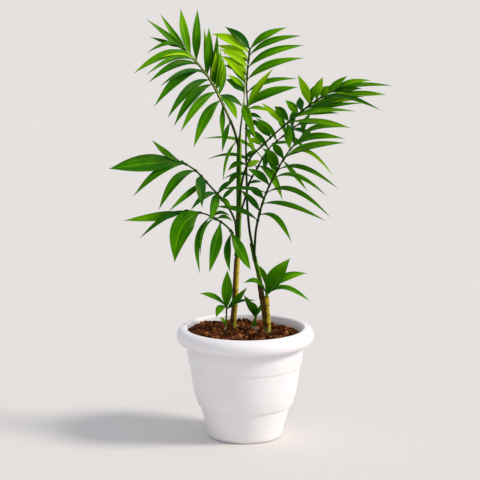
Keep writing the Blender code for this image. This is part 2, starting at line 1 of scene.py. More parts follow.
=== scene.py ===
"""The looks of a potted palm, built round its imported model.

The pot is spun from its profile, the soil is strewn with clods, the canes are drawn out ring by
ring, and every leaflet is a folded blade with a midrib that leaves a grooved stalk. Shapes are made
in millimetres, and each mesh is brought to metres when it is finished.
"""

import logging
import math
import random
from collections.abc import Iterable, Sequence
from dataclasses import dataclass
from enum import Enum
from functools import cache, partial, reduce

import bmesh
import bpy
from mathutils import Matrix, Vector, noise


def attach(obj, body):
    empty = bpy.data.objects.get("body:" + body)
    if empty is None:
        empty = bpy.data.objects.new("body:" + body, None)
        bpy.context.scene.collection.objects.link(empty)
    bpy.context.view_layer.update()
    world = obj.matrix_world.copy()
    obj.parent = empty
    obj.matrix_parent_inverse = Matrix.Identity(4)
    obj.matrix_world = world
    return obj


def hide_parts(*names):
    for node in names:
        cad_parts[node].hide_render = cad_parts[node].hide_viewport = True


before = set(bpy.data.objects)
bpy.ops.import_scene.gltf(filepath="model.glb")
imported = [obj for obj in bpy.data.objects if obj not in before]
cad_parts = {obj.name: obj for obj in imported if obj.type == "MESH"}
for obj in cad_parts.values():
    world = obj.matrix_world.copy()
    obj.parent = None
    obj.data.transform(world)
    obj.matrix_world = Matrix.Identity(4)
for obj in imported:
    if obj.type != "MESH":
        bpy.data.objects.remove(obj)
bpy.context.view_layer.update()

LOG = logging.getLogger("potted_palm")
MM = 0.001
WHOLE_TURN = 2 * math.pi
CURVE_PIECES = 12
ON_SHEATH = 2.0

Colour = tuple[float, float, float]
Point = tuple[float, float, float]
Pair = tuple[float, float]
Stops = Sequence[tuple[float, Colour]]
Mesh = bmesh.types.BMesh
Verts = list[bmesh.types.BMVert]
Material = bpy.types.Material
Object = bpy.types.Object
Node = bpy.types.Node
NodeTree = bpy.types.NodeTree
Outputs = bpy.types.NodeOutputs
Socket = bpy.types.NodeSocket


class Shade(Enum):
    """How a leaf is coloured, from an old blue-green one to a new yellow-green one: partly its own age
    and partly painted light, the darker ones painted shade and the brightest painted light through the
    leaf.
    """

    BLUE = 0.05
    DEEP = 0.22
    MID = 0.44
    BRIGHT = 0.68
    YELLOW = 0.95


BLUE, DEEP, MID, BRIGHT, YELLOW = Shade


# Paths and frames


def smooth_path(points: Iterable[Point], steps: int) -> list[Vector]:
    """Lays points at even distances along a smooth curve.

    Args:
        points: The points that the curve goes through.
        steps: How many pieces the curve is cut into.

    Returns:
        One more point than there are steps.
    """
    given = [Vector(p) for p in points]
    ends = [2 * given[0] - given[1], *given, 2 * given[-1] - given[-2]]
    fine = []
    for a, b, c, d in zip(ends, ends[1:], ends[2:], ends[3:]):
        for k in range(CURVE_PIECES):
            t = k / CURVE_PIECES
            bend = (2 * a - 5 * b + 4 * c - d) * t * t + (3 * b - a - 3 * c + d) * t ** 3
            fine.append(0.5 * (2 * b + (c - a) * t + bend))
    fine.append(given[-1])
    lengths = [0.0]
    for a, b in zip(fine, fine[1:]):
        lengths.append(lengths[-1] + (b - a).length)
    path, i = [], 1
    for k in range(steps + 1):
        wanted = lengths[-1] * k / steps
        while i < len(fine) - 1 and lengths[i] < wanted - 1e-9:
            i += 1
        share = (wanted - lengths[i - 1]) / (lengths[i] - lengths[i - 1])
        path.append(fine[i - 1].lerp(fine[i], share))
    return path


def point_along(path: Sequence[Vector], share: float) -> tuple[Vector, Vector]:
    """Finds a place on a path.

    Args:
        path: Evenly spaced points.
        share: How far along the place is, from 0 to 1.

    Returns:
        The point, and the direction of the path there.
    """
    place = share * (len(path) - 1)
    low = min(int(place), len(path) - 2)
    ahead = path[min(low + 2, len(path) - 1)] - path[max(low - 1, 0)]
    return path[low].lerp(path[low + 1], place - low), ahead.normalized()


def at_height(path: Sequence[Vector], height: float) -> Vector:
    """Finds the point of a rising path at a height.

    Args:
        path: The path, lowest point first.
        height: The height, which may be past the path's end, on the same line.

    Returns:
        The point.
    """
    for a, b in zip(path, path[1:]):
        if height <= b.z:
            break
    return a + (b - a) * ((height - a.z) / (b.z - a.z))


def levels(path: Sequence[Vector], low: float, high: float, count: int) -> list[Vector]:
    """The points of a rising path at evenly spaced heights."""
    return [at_height(path, low + (high - low) * k / count) for k in range(count + 1)]


def between(pairs: Sequence[Pair], place: float) -> float:
    """Reads a value between given ones.

    Args:
        pairs: Places with their values.
        place: Where the value is read.

    Returns:
        The value.
    """
    for (low, first), (high, second) in zip(pairs, pairs[1:]):
        if place <= high:
            return first + (second - first) * max(place - low, 0.0) / (high - low)
    return pairs[-1][1]


def ease(value: float) -> float:
    """A share from 0 to 1, eased at both ends."""
    share = min(max(value, 0.0), 1.0)
    return share * share * (3 - 2 * share)


def bell(distance: float, spread: float) -> float:
    """1 at no distance, and nearly 0 from twice the spread on."""
    return math.exp(-((distance / spread) ** 2))


def ring_frame(centre: Vector, ahead: Vector, upper: Vector, radius: float) -> Matrix:
    """Sets a unit circle square to a path.

    Args:
        centre: Where the circle's centre goes.
        ahead: The way the path runs there.
        upper: The side that the circle's +Y looks to.
        radius: The circle's radius.

    Returns:
        The matrix that takes the unit circle there.
    """
    side = upper.cross(ahead).normalized()
    turn = Matrix((side, ahead.cross(side), ahead)).transposed().to_4x4()
    return Matrix.Translation(centre) @ turn @ Matrix.Diagonal((radius, radius, 1.0, 1.0))


# Meshes


def new_mesh(*layers: str) -> Mesh:
    """Starts a mesh.

    Args:
        layers: The names of the vectors that its vertices carry.

    Returns:
        The empty mesh.
    """
    bm = bmesh.new()
    for layer in layers:
        bm.verts.layers.float_vector.new(layer)
    return bm


def drawn_out(result: dict) -> Verts:
    """The vertices that an extrusion has made."""
    return [item for item in result["geom"] if isinstance(item, bmesh.types.BMVert)]


def ring_edges(ring: Verts) -> list[bmesh.types.BMEdge]:
    """The edges among a ring's vertices."""
    own = set(ring)
    return list(dict.fromkeys(e for v in ring for e in v.link_edges if e.other_vert(v) in own))


def sweep(
    bm: Mesh, path: Sequence[Vector], radii: Sequence[float], sides: int, upper: Vector
) -> list[Verts]:
    """Draws a circle out along a path, one extrusion for each point.

    Args:
        bm: The mesh that the rod is added to.
        path: The rod's centre line.
        radii: Its radius at each point.
        sides: How many sides it has.
        upper: The side that its "rod" values are counted from.

    Returns:
        Each ring's vertices.
    """
    rod = bm.verts.layers.float_vector["rod"]
    last = len(path) - 1
    rings, place = [], Matrix()
    for k, (centre, radius) in enumerate(zip(path, radii)):
        ahead = (path[min(k + 1, last)] - path[max(k - 1, 0)]).normalized()
        before, place = place, ring_frame(centre, ahead, upper, radius)
        if rings:
            verts = drawn_out(bmesh.ops.extrude_edge_only(bm, edges=ring_edges(rings[-1])))
            bmesh.ops.transform(bm, matrix=place @ before.inverted(), verts=verts)
        else:
            verts = bmesh.ops.create_circle(bm, segments=sides, radius=1.0, matrix=place)["verts"]
        up = place.to_3x3().col[1].normalized()
        for vert in verts:
            vert[rod] = Vector(((vert.co - centre).normalized().dot(up), k / last, 0.0))
        rings.append(verts)
    return rings


def close_ends(bm: Mesh, rings: Sequence[Verts]) -> None:
    """Fills a rod's first and last ring with one face each."""
    for ring in (rings[0], rings[-1]):
        bmesh.ops.edgeloop_fill(bm, edges=ring_edges(ring))


def second_skin(bm: Mesh, verts: Verts) -> Verts:
    """Doubles the faces among some vertices into a closed body.

    Args:
        bm: The mesh.
        verts: The outer skin's vertices.

    Returns:
        The inner skin's vertices, which still lie on the outer skin.
    """
    own = set(verts)
    faces = dict.fromkeys(f for v in verts for f in v.link_faces if own.issuperset(f.verts))
    return drawn_out(bmesh.ops.extrude_face_region(bm, geom=list(faces), use_keep_orig=True))


def hollow(bm: Mesh, rings: Iterable[Verts], line: Sequence[Vector], wall: float) -> None:
    """Gives a tube round a rising line a wall of a thickness."""
    for vert in second_skin(bm, [vert for ring in rings for vert in ring]):
        vert.co -= (vert.co - at_height(line, vert.co.z)).normalized() * wall


def turned(
    bm: Mesh, profile: Iterable[Pair], steps: int, merge: float, corner: float = 0.0
) -> None:
    """Turns a profile round the z axis into a closed body.

    Args:
        bm: The mesh that the body is added to.
        profile: The radius and height of its points, from the axis back to the axis.
        steps: How many steps the turn has.
        merge: Vertices nearer than this become one.
        corner: How far the profile's corners are rounded.
    """
    verts = [bm.verts.new((r, 0.0, z)) for r, z in profile]
    for a, b in zip(verts, verts[1:]):
        bm.edges.new((a, b))
    if corner:
        bmesh.ops.bevel(
            bm, geom=verts[1:-1], offset=corner, segments=2, profile=0.5, affect="VERTICES",
            clamp_overlap=True, material=-1,
        )
    bmesh.ops.spin(
        bm, geom=bm.verts[:] + bm.edges[:], cent=(0, 0, 0), axis=(0, 0, 1), dvec=(0, 0, 0),
        angle=WHOLE_TURN, steps=steps, use_merge=True, use_duplicate=False,
    )
    bmesh.ops.remove_doubles(bm, verts=bm.verts, dist=merge)


def into_scene(name: str, data: bpy.types.ID) -> Object:
    """Puts something into the scene.

    Args:
        name: Its name.
        data: A mesh, a lamp or a camera.

    Returns:
        The new object.
    """
    thing = bpy.data.objects.new(name, data)
    bpy.context.scene.collection.objects.link(thing)
    return thing


def finished(name: str, bm: Mesh, material: Material, sharp: float = 50.0) -> Object:
    """Brings a mesh in mm to metres and makes an object of it.

    Args:
        name: The piece's name.
        bm: Its mesh, which is used up.
        material: Its finish.
        sharp: From this angle on, in degrees, an edge shows as an edge.

    Returns:
        The new object, at the origin.
    """
    bmesh.ops.recalc_face_normals(bm, faces=bm.faces)
    bmesh.ops.scale(bm, vec=(MM, MM, MM), verts=bm.verts)
    mesh = bpy.data.meshes.new(name)
    bm.to_mesh(mesh)
    bm.free()
    mesh.shade_smooth()
    mesh.set_sharp_from_angle(angle=math.radians(sharp))
    mesh.materials.append(material)
    return into_scene(name, mesh)


def add_to_palm(piece: Object, slot: str, *nodes: str) -> None:
    """Makes a piece part of the palm.

    Args:
        piece: The finished piece.
        slot: A material slot's name, which is not used.
        nodes: The solids that it stands for, if any.
    """
    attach(piece, "root")
    if nodes:
        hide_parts(*nodes)
    LOG.info("%s: %d faces", piece.name, len(piece.data.polygons))


# Shader trees


class Tree:
    """A shader tree, built by naming each node with what feeds it."""

    def __init__(self, tree: NodeTree) -> None:
        """Wraps an existing tree."""
        self.tree = tree

    def fill(self, node: Node, inputs: dict) -> Node:
        """Feeds a node.

        Args:
            node: The node.
            inputs: A value or an output socket for each input, by name or number.

        Returns:
            The same node.
        """
        for name, value in inputs.items():
            socket = node.inputs[name]
            if isinstance(value, Socket):
                self.tree.links.new(value, socket)
            else:
                socket.default_value = (*value, 1.0) if socket.type == "RGBA" else value
        return node

    def add(self, kind: str, inputs: dict, **settings: object) -> Node:
        """Adds a node.

        Args:
            kind: The node's type, without the word that all of them start with.
            inputs: What feeds it.
            settings: The node's own properties.

        Returns:
            The node.
        """
        node = self.tree.nodes.new(f"ShaderNode{kind}")
        for name, value in settings.items():
            setattr(node, name, value)
        return self.fill(node, inputs)

    def math(self, operation: str, *values: object) -> Socket:
        """The outcome of a sum on numbers or sockets."""
        return self.add("Math", dict(enumerate(values)), operation=operation).outputs[0]

    def times(self, *values: object) -> Socket:
        """The product of numbers or sockets."""
        return reduce(partial(self.math, "MULTIPLY"), values)

    def plus(self, *values: object) -> Socket:
        """The sum of two numbers or sockets."""
        return self.math("ADD", *values)

    def scaled(self, value: Socket, factor: float, start: object) -> Socket:
        """A value times a factor, added to a start."""
        return self.math("MULTIPLY_ADD", value, factor, start)

    def stretched(self, vector: Socket, by: Point) -> Socket:
        """A vector times another."""
        return self.add("VectorMath", {0: vector, 1: by}, operation="MULTIPLY").outputs[0]

    def mix(self, factor: object, first: object, second: object) -> Socket:
        """One colour mixed with another."""
        inputs = {0: factor, 6: first, 7: second}
        return self.add("Mix", inputs, data_type="RGBA", clamp_factor=True).outputs[2]

    def step(self, value: object, low: float, high: float) -> Socket:
        """0 at low and 1 at high, eased in between, where low may be the greater one."""
        inputs = {0: value, 1: low, 2: high}
        return self.add("MapRange", inputs, interpolation_type="SMOOTHSTEP").outputs[0]

    def ramp(self, factor: Socket, stops: Stops) -> Socket:
        """Reads a colour from a row of them.

        Args:
            factor: Where it is read.
            stops: The places and their colours.

        Returns:
            The colour.
        """
        node = self.add("ValToRGB", {0: factor})
        elements = node.color_ramp.elements
        while len(elements) < len(stops):
            elements.new(1.0)
        for element, (place, colour) in zip(elements, stops):
            element.position = place
            element.color = (*colour, 1.0)
        return node.outputs[0]

    def parts(self, vector: Socket) -> Outputs:
        """A vector's three numbers."""
        return self.add("SeparateXYZ", {0: vector}).outputs


class Effect(Tree):
    """A shader effect that several finishes share, as a group with named inputs and outputs."""

    def __init__(self, name: str, **inputs: str) -> None:
        """Starts the group.

        Args:
            name: The effect's name.
            inputs: Each input's kind of socket.
        """
        super().__init__(bpy.data.node_groups.new(name, "ShaderNodeTree"))
        for label, kind in inputs.items():
            self.tree.interface.new_socket(label, in_out="INPUT", socket_type=f"NodeSocket{kind}")
        self.given = self.tree.nodes.new("NodeGroupInput").outputs

    def gives(self, **outputs: Socket) -> NodeTree:
        """Ends the group.

        Args:
            outputs: The numbers that it puts out.

        Returns:
            The group.
        """
        for label in outputs:
            self.tree.interface.new_socket(label, in_out="OUTPUT", socket_type="NodeSocketFloat")
        self.fill(self.tree.nodes.new("NodeGroupOutput"), outputs)
        return self.tree


@cache
def patches() -> NodeTree:
    """Uneven patches at two sizes: a value from -1 to 1 that shifts a colour or a gloss.

    Returns:
        The group.
    """
    tree = Effect("patches", Place="Vector", Scale="Float")
    place, scale = tree.given["Place"], tree.given["Scale"]
    wide = tree.add("TexNoise", {"Vector": place, "Scale": scale}).outputs[0]
    inputs = {"Vector": place, "Scale": tree.times(scale, 5.0), "Detail": 4.0}
    fine = tree.add("TexNoise", inputs).outputs[0]
    return tree.gives(Shift=tree.math("SUBTRACT", tree.scaled(wide, 2.6, fine), 1.8), Fine=fine)


@cache
def leaf_veins() -> NodeTree:
    """The midrib and the veins beside it, from a blade's place across and along it.

    Returns:
        The group.
    """
    tree = Effect("leaf_veins", Across="Float", Along="Float", Count="Float")
    out = tree.math("ABSOLUTE", tree.given["Across"])
    midrib = tree.times(tree.step(out, 0.13, 0.03), tree.step(tree.given["Along"], 1.0, 0.8))
    wave = tree.math("COSINE", tree.times(out, tree.given["Count"], WHOLE_TURN))
    lines = tree.step(wave, 0.55, 1.0)
    return tree.gives(Midrib=midrib, Lines=lines, Height=tree.scaled(wave, 0.25, midrib))


@cache
def stem_fibres() -> NodeTree:
    """Fine streaks that run up a stem.

    Returns:
        The group.
    """
    tree = Effect("stem_fibres", Place="Vector", Scale="Float")
    drawn = tree.stretched(tree.given["Place"], (1.0, 1.0, 0.06))
    inputs = {"Vector": drawn, "Scale": tree.given["Scale"], "Detail": 3.0}
    return tree.gives(Streaks=tree.add("TexNoise", inputs).outputs[0])


class Skin(Tree):
    """A material's tree, from the object's own coordinates to the shader."""

    def __init__(self, name: str) -> None:
        """Starts a material.

        Args:
            name: The material's name.
        """
        self.material = bpy.data.materials.new(name)
        self.material.use_nodes = True
        super().__init__(self.material.node_tree)
        self.place = self.add("TexCoord", {}).outputs["Object"]

    def layer(self, name: str) -> Outputs:
        """The three numbers that the mesh's vertices carry under a name."""
        return self.parts(self.add("Attribute", {}, attribute_name=name).outputs["Vector"])

    def noise(self, scale: float, detail: float, place: Socket | None = None) -> Socket:
        """Soft noise from 0 to 1."""
        inputs = {"Vector": place or self.place, "Scale": scale, "Detail": detail, "Roughness": 0.6}
        return self.add("TexNoise", inputs).outputs[0]

    def up(self, low: float, high: float) -> Socket:
        """0 at a height of low and 1 at high, in mm, where low may be the greater one."""
        return self.step(self.parts(self.place)[2], low * MM, high * MM)

    def effect(self, group: NodeTree, **inputs: object) -> Outputs:
        """Places a shared effect.

        Args:
            group: The effect.
            inputs: Its inputs, apart from the place on the object.

        Returns:
            What it puts out.
        """
        node = self.add("Group", {})
        node.node_tree = group
        if "Place" in node.inputs:
            inputs["Place"] = self.place
        return self.fill(node, inputs).outputs

    def bump(self, height: Socket, strength: float, depth: float) -> Socket:
        """A normal that follows a height from 0 to 1, where 1 stands depth mm high."""
        inputs = {"Height": height, "Strength": strength, "Distance": depth * MM}
        return self.add("Bump", inputs).outputs[0]

    def finish(self, **inputs: object) -> Material:
        """Feeds the shader.

        Args:
            inputs: What feeds it, an underscore standing for a space.

        Returns:
            The material.
        """
        shader = self.tree.nodes["Principled BSDF"]
        self.fill(shader, {name.replace("_", " "): value for name, value in inputs.items()})
        return self.material


# Finishes


@dataclass(frozen=True)
class PlasticFinish:
    """Smooth moulded plastic, tinted pink all over as painted warm bounce light from the ground, a
    little dusty low down and marked by soil inside the lip.
    """

    name: str = "white_plastic"
    # The pink in these whites is painted warm bounce light from the ground, not the plastic's own
    # colour.
    colour: Colour = (0.90, 0.872, 0.872)
    shaded: Colour = (0.865, 0.832, 0.832)
    dust: Colour = (0.55, 0.42, 0.30)
    soil: Colour = (0.20, 0.09, 0.045)
    roughness: float = 0.36
    dust_top: float = 16.0
    dustiness: float = 0.55
    soiled_from: Pair = (143.0, 145.0)
    soiled_to: Pair = (161.0, 155.0)
    soiled_within: Pair = (84.5, 83.0)
    soiling: float = 0.16
    patch_scale: float = 14.0
    relief: Pair = (0.35, 0.25)
    glow: float = 0.08
    glow_depth: float = 0.004

    def material(self) -> Material:
        """Builds the finish.

        Returns:
            The material.
        """
        skin = Skin(self.name)
        x, y, _ = skin.parts(skin.place)
        uneven = skin.effect(patches(), Scale=self.patch_scale)
        colour = skin.mix(skin.step(uneven["Shift"], -0.9, 0.9), self.shaded, self.colour)
        specks = skin.step(skin.noise(420.0, 5.0), 0.52, 0.75)
        low = skin.up(self.dust_top, 0.0)
        colour = skin.mix(skin.times(low, specks, self.dustiness), colour, self.dust)
        radius = skin.math("SQRT", skin.plus(skin.times(x, x), skin.times(y, y)))
        inner = skin.step(skin.times(radius, 1 / MM), *self.soiled_within)
        smears = skin.step(skin.noise(160.0, 6.0), 0.42, 0.70)
        dirt = skin.times(inner, skin.up(*self.soiled_from), skin.up(*self.soiled_to), smears)
        colour = skin.mix(skin.times(dirt, self.soiling), colour, self.soil)
        rough = skin.scaled(dirt, 0.3, skin.scaled(uneven["Fine"], 0.14, self.roughness))
        height = skin.scaled(skin.noise(900.0, 2.0), 0.08, skin.noise(30.0, 1.0))
        return skin.finish(
            Base_Color=colour, Roughness=rough, Normal=skin.bump(height, *self.relief),
            Subsurface_Weight=self.glow, Subsurface_Scale=self.glow_depth,
        )


@dataclass(frozen=True)
class SoilFinish:
    """Crumbly reddish brown potting soil with a few pale flecks."""

    name: str = "potting_soil"
    stops: Stops = (
        (0.0, (0.004, 0.001, 0.000)), (0.26, (0.042, 0.010, 0.001)), (0.50, (0.190, 0.055, 0.012)),
        (0.74, (0.470, 0.175, 0.060)), (1.0, (0.800, 0.500, 0.260)),
    )
    patch_scale: float = 70.0
    relief: Pair = (1.0, 1.1)
    gloss: float = 0.10

    def material(self) -> Material:
        """Builds the finish. The "clod" value is each crumb's own paleness.

        Returns:
            The material.
        """
        skin = Skin(self.name)
        uneven = skin.effect(patches(), Scale=self.patch_scale)
        fine = skin.noise(900.0, 6.0)
        tone = skin.scaled(uneven["Shift"], 0.21, skin.layer("clod")[0])
        tone = skin.math("SUBTRACT", skin.scaled(fine, 0.35, tone), 0.17)
        height = skin.plus(fine, skin.noise(300.0, 5.0))
        return skin.finish(
            Base_Color=skin.ramp(tone, self.stops), Roughness=skin.scaled(fine, -0.15, 1.0),
            Normal=skin.bump(height, *self.relief), Specular_IOR_Level=self.gloss,
        )


@dataclass(frozen=True)
class BarkFinish:
    """The skin of a cane: its own yellow-brown low down, split into yellow on the side towards the light
    and brown on the side away as painted light and shade; green higher up, with dark ring scars.
    """

    name: str
    greens_from: float
    brown: Colour = (0.085, 0.046, 0.006)
    lit_yellow: Colour = (0.70, 0.51, 0.028)
    green: Colour = (0.016, 0.070, 0.002)
    foot: Colour = (0.30, 0.34, 0.09)
    scar: Colour = (0.045, 0.022, 0.008)
    greening: float = 14.0
    foot_ends: Pair = (164.0, 154.0)
    patch_scale: float = 90.0
    fibre_scale: float = 1100.0
    relief: Pair = (0.5, 0.3)
    gloss: float = 0.12

    def material(self) -> Material:
        """Builds the finish.

        The "rod" values are how far a point faces the light side, its place along and its scar.

        Returns:
            The material.
        """
        skin = Skin(self.name)
        facing, _, mark = skin.layer("rod")
        uneven = skin.effect(patches(), Scale=self.patch_scale)
        streaks = skin.effect(stem_fibres(), Scale=self.fibre_scale)["Streaks"]
        # Painted light and shade: the side towards the light turns yellow and the side away stays brown,
        # shifted by the patches.
        sunny = skin.scaled(uneven["Shift"], 0.55, facing)
        colour = skin.mix(skin.step(sunny, -0.35, 0.55), self.brown, self.lit_yellow)
        up = skin.up(self.greens_from - self.greening, self.greens_from + self.greening)
        colour = skin.mix(skin.times(up, 0.85), colour, self.green)
        colour = skin.mix(skin.times(skin.up(*self.foot_ends), 0.7), colour, self.foot)
        colour = skin.mix(skin.times(skin.step(streaks, 0.62, 0.40), 0.28), colour, self.brown)
        colour = skin.mix(skin.times(mark, 0.8), colour, self.scar)
        relief = skin.scaled(uneven["Fine"], 0.5, streaks)
        return skin.finish(
            Base_Color=colour, Roughness=skin.scaled(streaks, 0.25, 0.38),
            Normal=skin.bump(relief, *self.relief), Specular_IOR_Level=self.gloss,
        )


@dataclass(frozen=True)
class StemFinish:
    """A green stalk or sheath with a pale stripe, painted shade on the side turned away from the stripe,
    and a dry brown edge at its end. On a sheath the stripe faces the light and is a painted highlight;
    on a stalk it runs along the groove and is partly its own pale line and partly a painted highlight.
    """

    name: str
    green: Colour = (0.002, 0.011, 0.001)
    light: Colour = (0.014, 0.046, 0.002)
    stripe: Colour = (0.050, 0.100, 0.005)
    stripe_from: float = 0.90
    sheath: Colour = (0.008, 0.050, 0.001)
    sheath_light: Colour = (0.060, 0.190, 0.004)
    sheath_highlight: Colour = (0.22, 0.42, 0.012)
    foot: Colour = (0.58, 0.42, 0.32)
    dry: Colour = (0.120, 0.060, 0.018)
    gloss_tint: Colour = (0.75, 1.0, 0.12)
    pale_foot: float = 0.0
    patch_scale: float = 60.0
    fibre_scale: float = 900.0
    relief: Pair = (0.4, 0.15)
    gloss: float = 0.10

    def material(self) -> Material:
        """Builds the finish.

        The "rod" values are how far a point faces the stripe, its place along, which is past the
        end on a sheath, and how dry it is.

        Returns:
            The material.
        """
        skin = Skin(self.name)
        facing, along, mark = skin.layer("rod")
        uneven = skin.effect(patches(), Scale=self.patch_scale)
        streaks = skin.effect(stem_fibres(), Scale=self.fibre_scale)["Streaks"]
        wraps = skin.step(along, 0.6 * ON_SHEATH, 0.9 * ON_SHEATH)
        dark = skin.mix(wraps, self.green, self.sheath)
        light = skin.mix(wraps, self.light, self.sheath_light)
        colour = skin.mix(skin.step(uneven["Shift"], -0.6, 1.1), dark, light)
        colour = skin.mix(skin.times(skin.step(streaks, 0.5, 0.7), 0.4), colour, light)
        # Painted shade: the side turned away from the stripe is darkened.
        colour = skin.mix(skin.step(facing, 0.1, -0.7), colour, dark)
        # The pale stripe: on a sheath a painted highlight on its side towards the light, on a stalk
        # partly its own pale line along the groove and partly a painted highlight.
        groove = skin.times(skin.step(facing, self.stripe_from, self.stripe_from + 0.08), 0.75)
        groove = skin.times(groove, skin.step(along, 0.25, 0.42))
        colour = skin.mix(groove, colour, skin.mix(wraps, self.stripe, self.sheath_highlight))
        colour = skin.mix(mark, colour, self.dry)
        if self.pale_foot:
            colour = skin.mix(skin.up(self.pale_foot + 6, self.pale_foot), colour, self.foot)
        return skin.finish(
            Base_Color=colour, Roughness=skin.scaled(streaks, 0.2, 0.3),
            Normal=skin.bump(streaks, *self.relief), Specular_IOR_Level=self.gloss,
            Specular_Tint=self.gloss_tint,
        )


@dataclass(frozen=True)
class LeafFinish:
    """A satin leaf with a pale midrib, fine veins, a duller underside and a drying tip, with painted
    shade at its base and painted light on one of its halves.
    """

    name: str
    freshness_and_light: float = 0.0
    greens: Stops = (
        (0.0, (0.008, 0.092, 0.010)), (0.22, (0.010, 0.082, 0.000)), (0.44, (0.034, 0.178, 0.000)),
        (0.68, (0.110, 0.320, 0.000)), (0.95, (0.300, 0.560, 0.003)),
    )
    underside: Colour = (0.030, 0.110, 0.002)
    gloss_tint: Colour = (0.75, 1.0, 0.12)
    dry: Colour = (0.21, 0.13, 0.03)
    veins: float = 7.0
    rib: float = 0.20
    patch_scale: float = 38.0
    streaks_across: Point = (3.5, 1.2, 1.0)
    relief: Pair = (0.5, 0.16)
    gloss: float = 0.16
    glow: float = 0.06
    glow_radius: Point = (0.6, 1.0, 0.1)
    glow_depth: float = 0.0015

    def material(self) -> Material:
        """Builds the finish.

        The "blade" values are a point's place across and along, and whether it is on the underside.
        The "shade" values are the leaf's age and a number of its own.

        Returns:
            The material.
        """
        skin = Skin(self.name)
        across, along, under = skin.layer("blade")
        age, own, _ = skin.layer("shade")
        uneven = skin.effect(patches(), Scale=self.patch_scale)
        veins = skin.effect(leaf_veins(), Across=across, Along=along, Count=self.veins)
        own = skin.math("SUBTRACT", own, 0.5)
        drawn = skin.add("CombineXYZ", {0: across, 1: along, 2: skin.times(own, 40.0)}).outputs[0]
        streaks = skin.noise(1.0, 2.0, skin.stretched(drawn, self.streaks_across))
        # Painted shade and light among the shifts: the step along the blade darkens its base and
        # lightens its outer part, and across times the leaf's own number lightens one half and darkens
        # the other.
        shifts = (
            (uneven["Shift"], 0.10), (skin.step(along, 0.15, 0.75), 0.15),
            (skin.math("POWER", along, 4.0), 0.12), (skin.math("SUBTRACT", streaks, 0.5), 0.55),
            (skin.times(across, own), 0.30), (veins["Lines"], 0.05), (veins["Midrib"], self.rib),
        )
        age = skin.plus(age, self.freshness_and_light - 0.08)
        for shift, amount in shifts:
            age = skin.scaled(shift, amount, age)
        colour = skin.mix(skin.times(under, 0.3), skin.ramp(age, self.greens), self.underside)
        spots = skin.step(skin.noise(70.0, 2.0), 0.40, 0.56)
        colour = skin.mix(skin.times(skin.step(along, 0.955, 1.0), spots, 0.8), colour, self.dry)
        rough = skin.scaled(under, 0.18, skin.scaled(uneven["Fine"], 0.16, 0.30))
        height = skin.scaled(uneven["Fine"], 0.4, veins["Height"])
        return skin.finish(
            Base_Color=colour, Roughness=rough, Normal=skin.bump(height, *self.relief),
            Specular_IOR_Level=self.gloss, Specular_Tint=self.gloss_tint,
            Subsurface_Weight=self.glow, Subsurface_Radius=self.glow_radius,
            Subsurface_Scale=self.glow_depth,
        )


@dataclass(frozen=True)
class HuskFinish:
    """A dry papery sheath."""

    name: str = "dry_husk"
    dark: Colour = (0.020, 0.010, 0.003)
    light: Colour = (0.130, 0.066, 0.016)
    patch_scale: float = 120.0
    fibre_scale: float = 1400.0
    relief: Pair = (0.8, 0.3)
    gloss: float = 0.10

    def material(self) -> Material:
        """Builds the finish.

        Returns:
            The material.
        """
        skin = Skin(self.name)
        streaks = skin.effect(stem_fibres(), Scale=self.fibre_scale)["Streaks"]
        uneven = skin.effect(patches(), Scale=self.patch_scale)
        tone = skin.step(skin.scaled(uneven["Shift"], 0.2, streaks), 0.35, 0.75)
        return skin.finish(
            Base_Color=skin.mix(tone, self.dark, self.light),
            Roughness=skin.scaled(uneven["Fine"], 0.2, 0.65),
            Normal=skin.bump(streaks, *self.relief), Specular_IOR_Level=self.gloss,
        )


# The pot and its soil


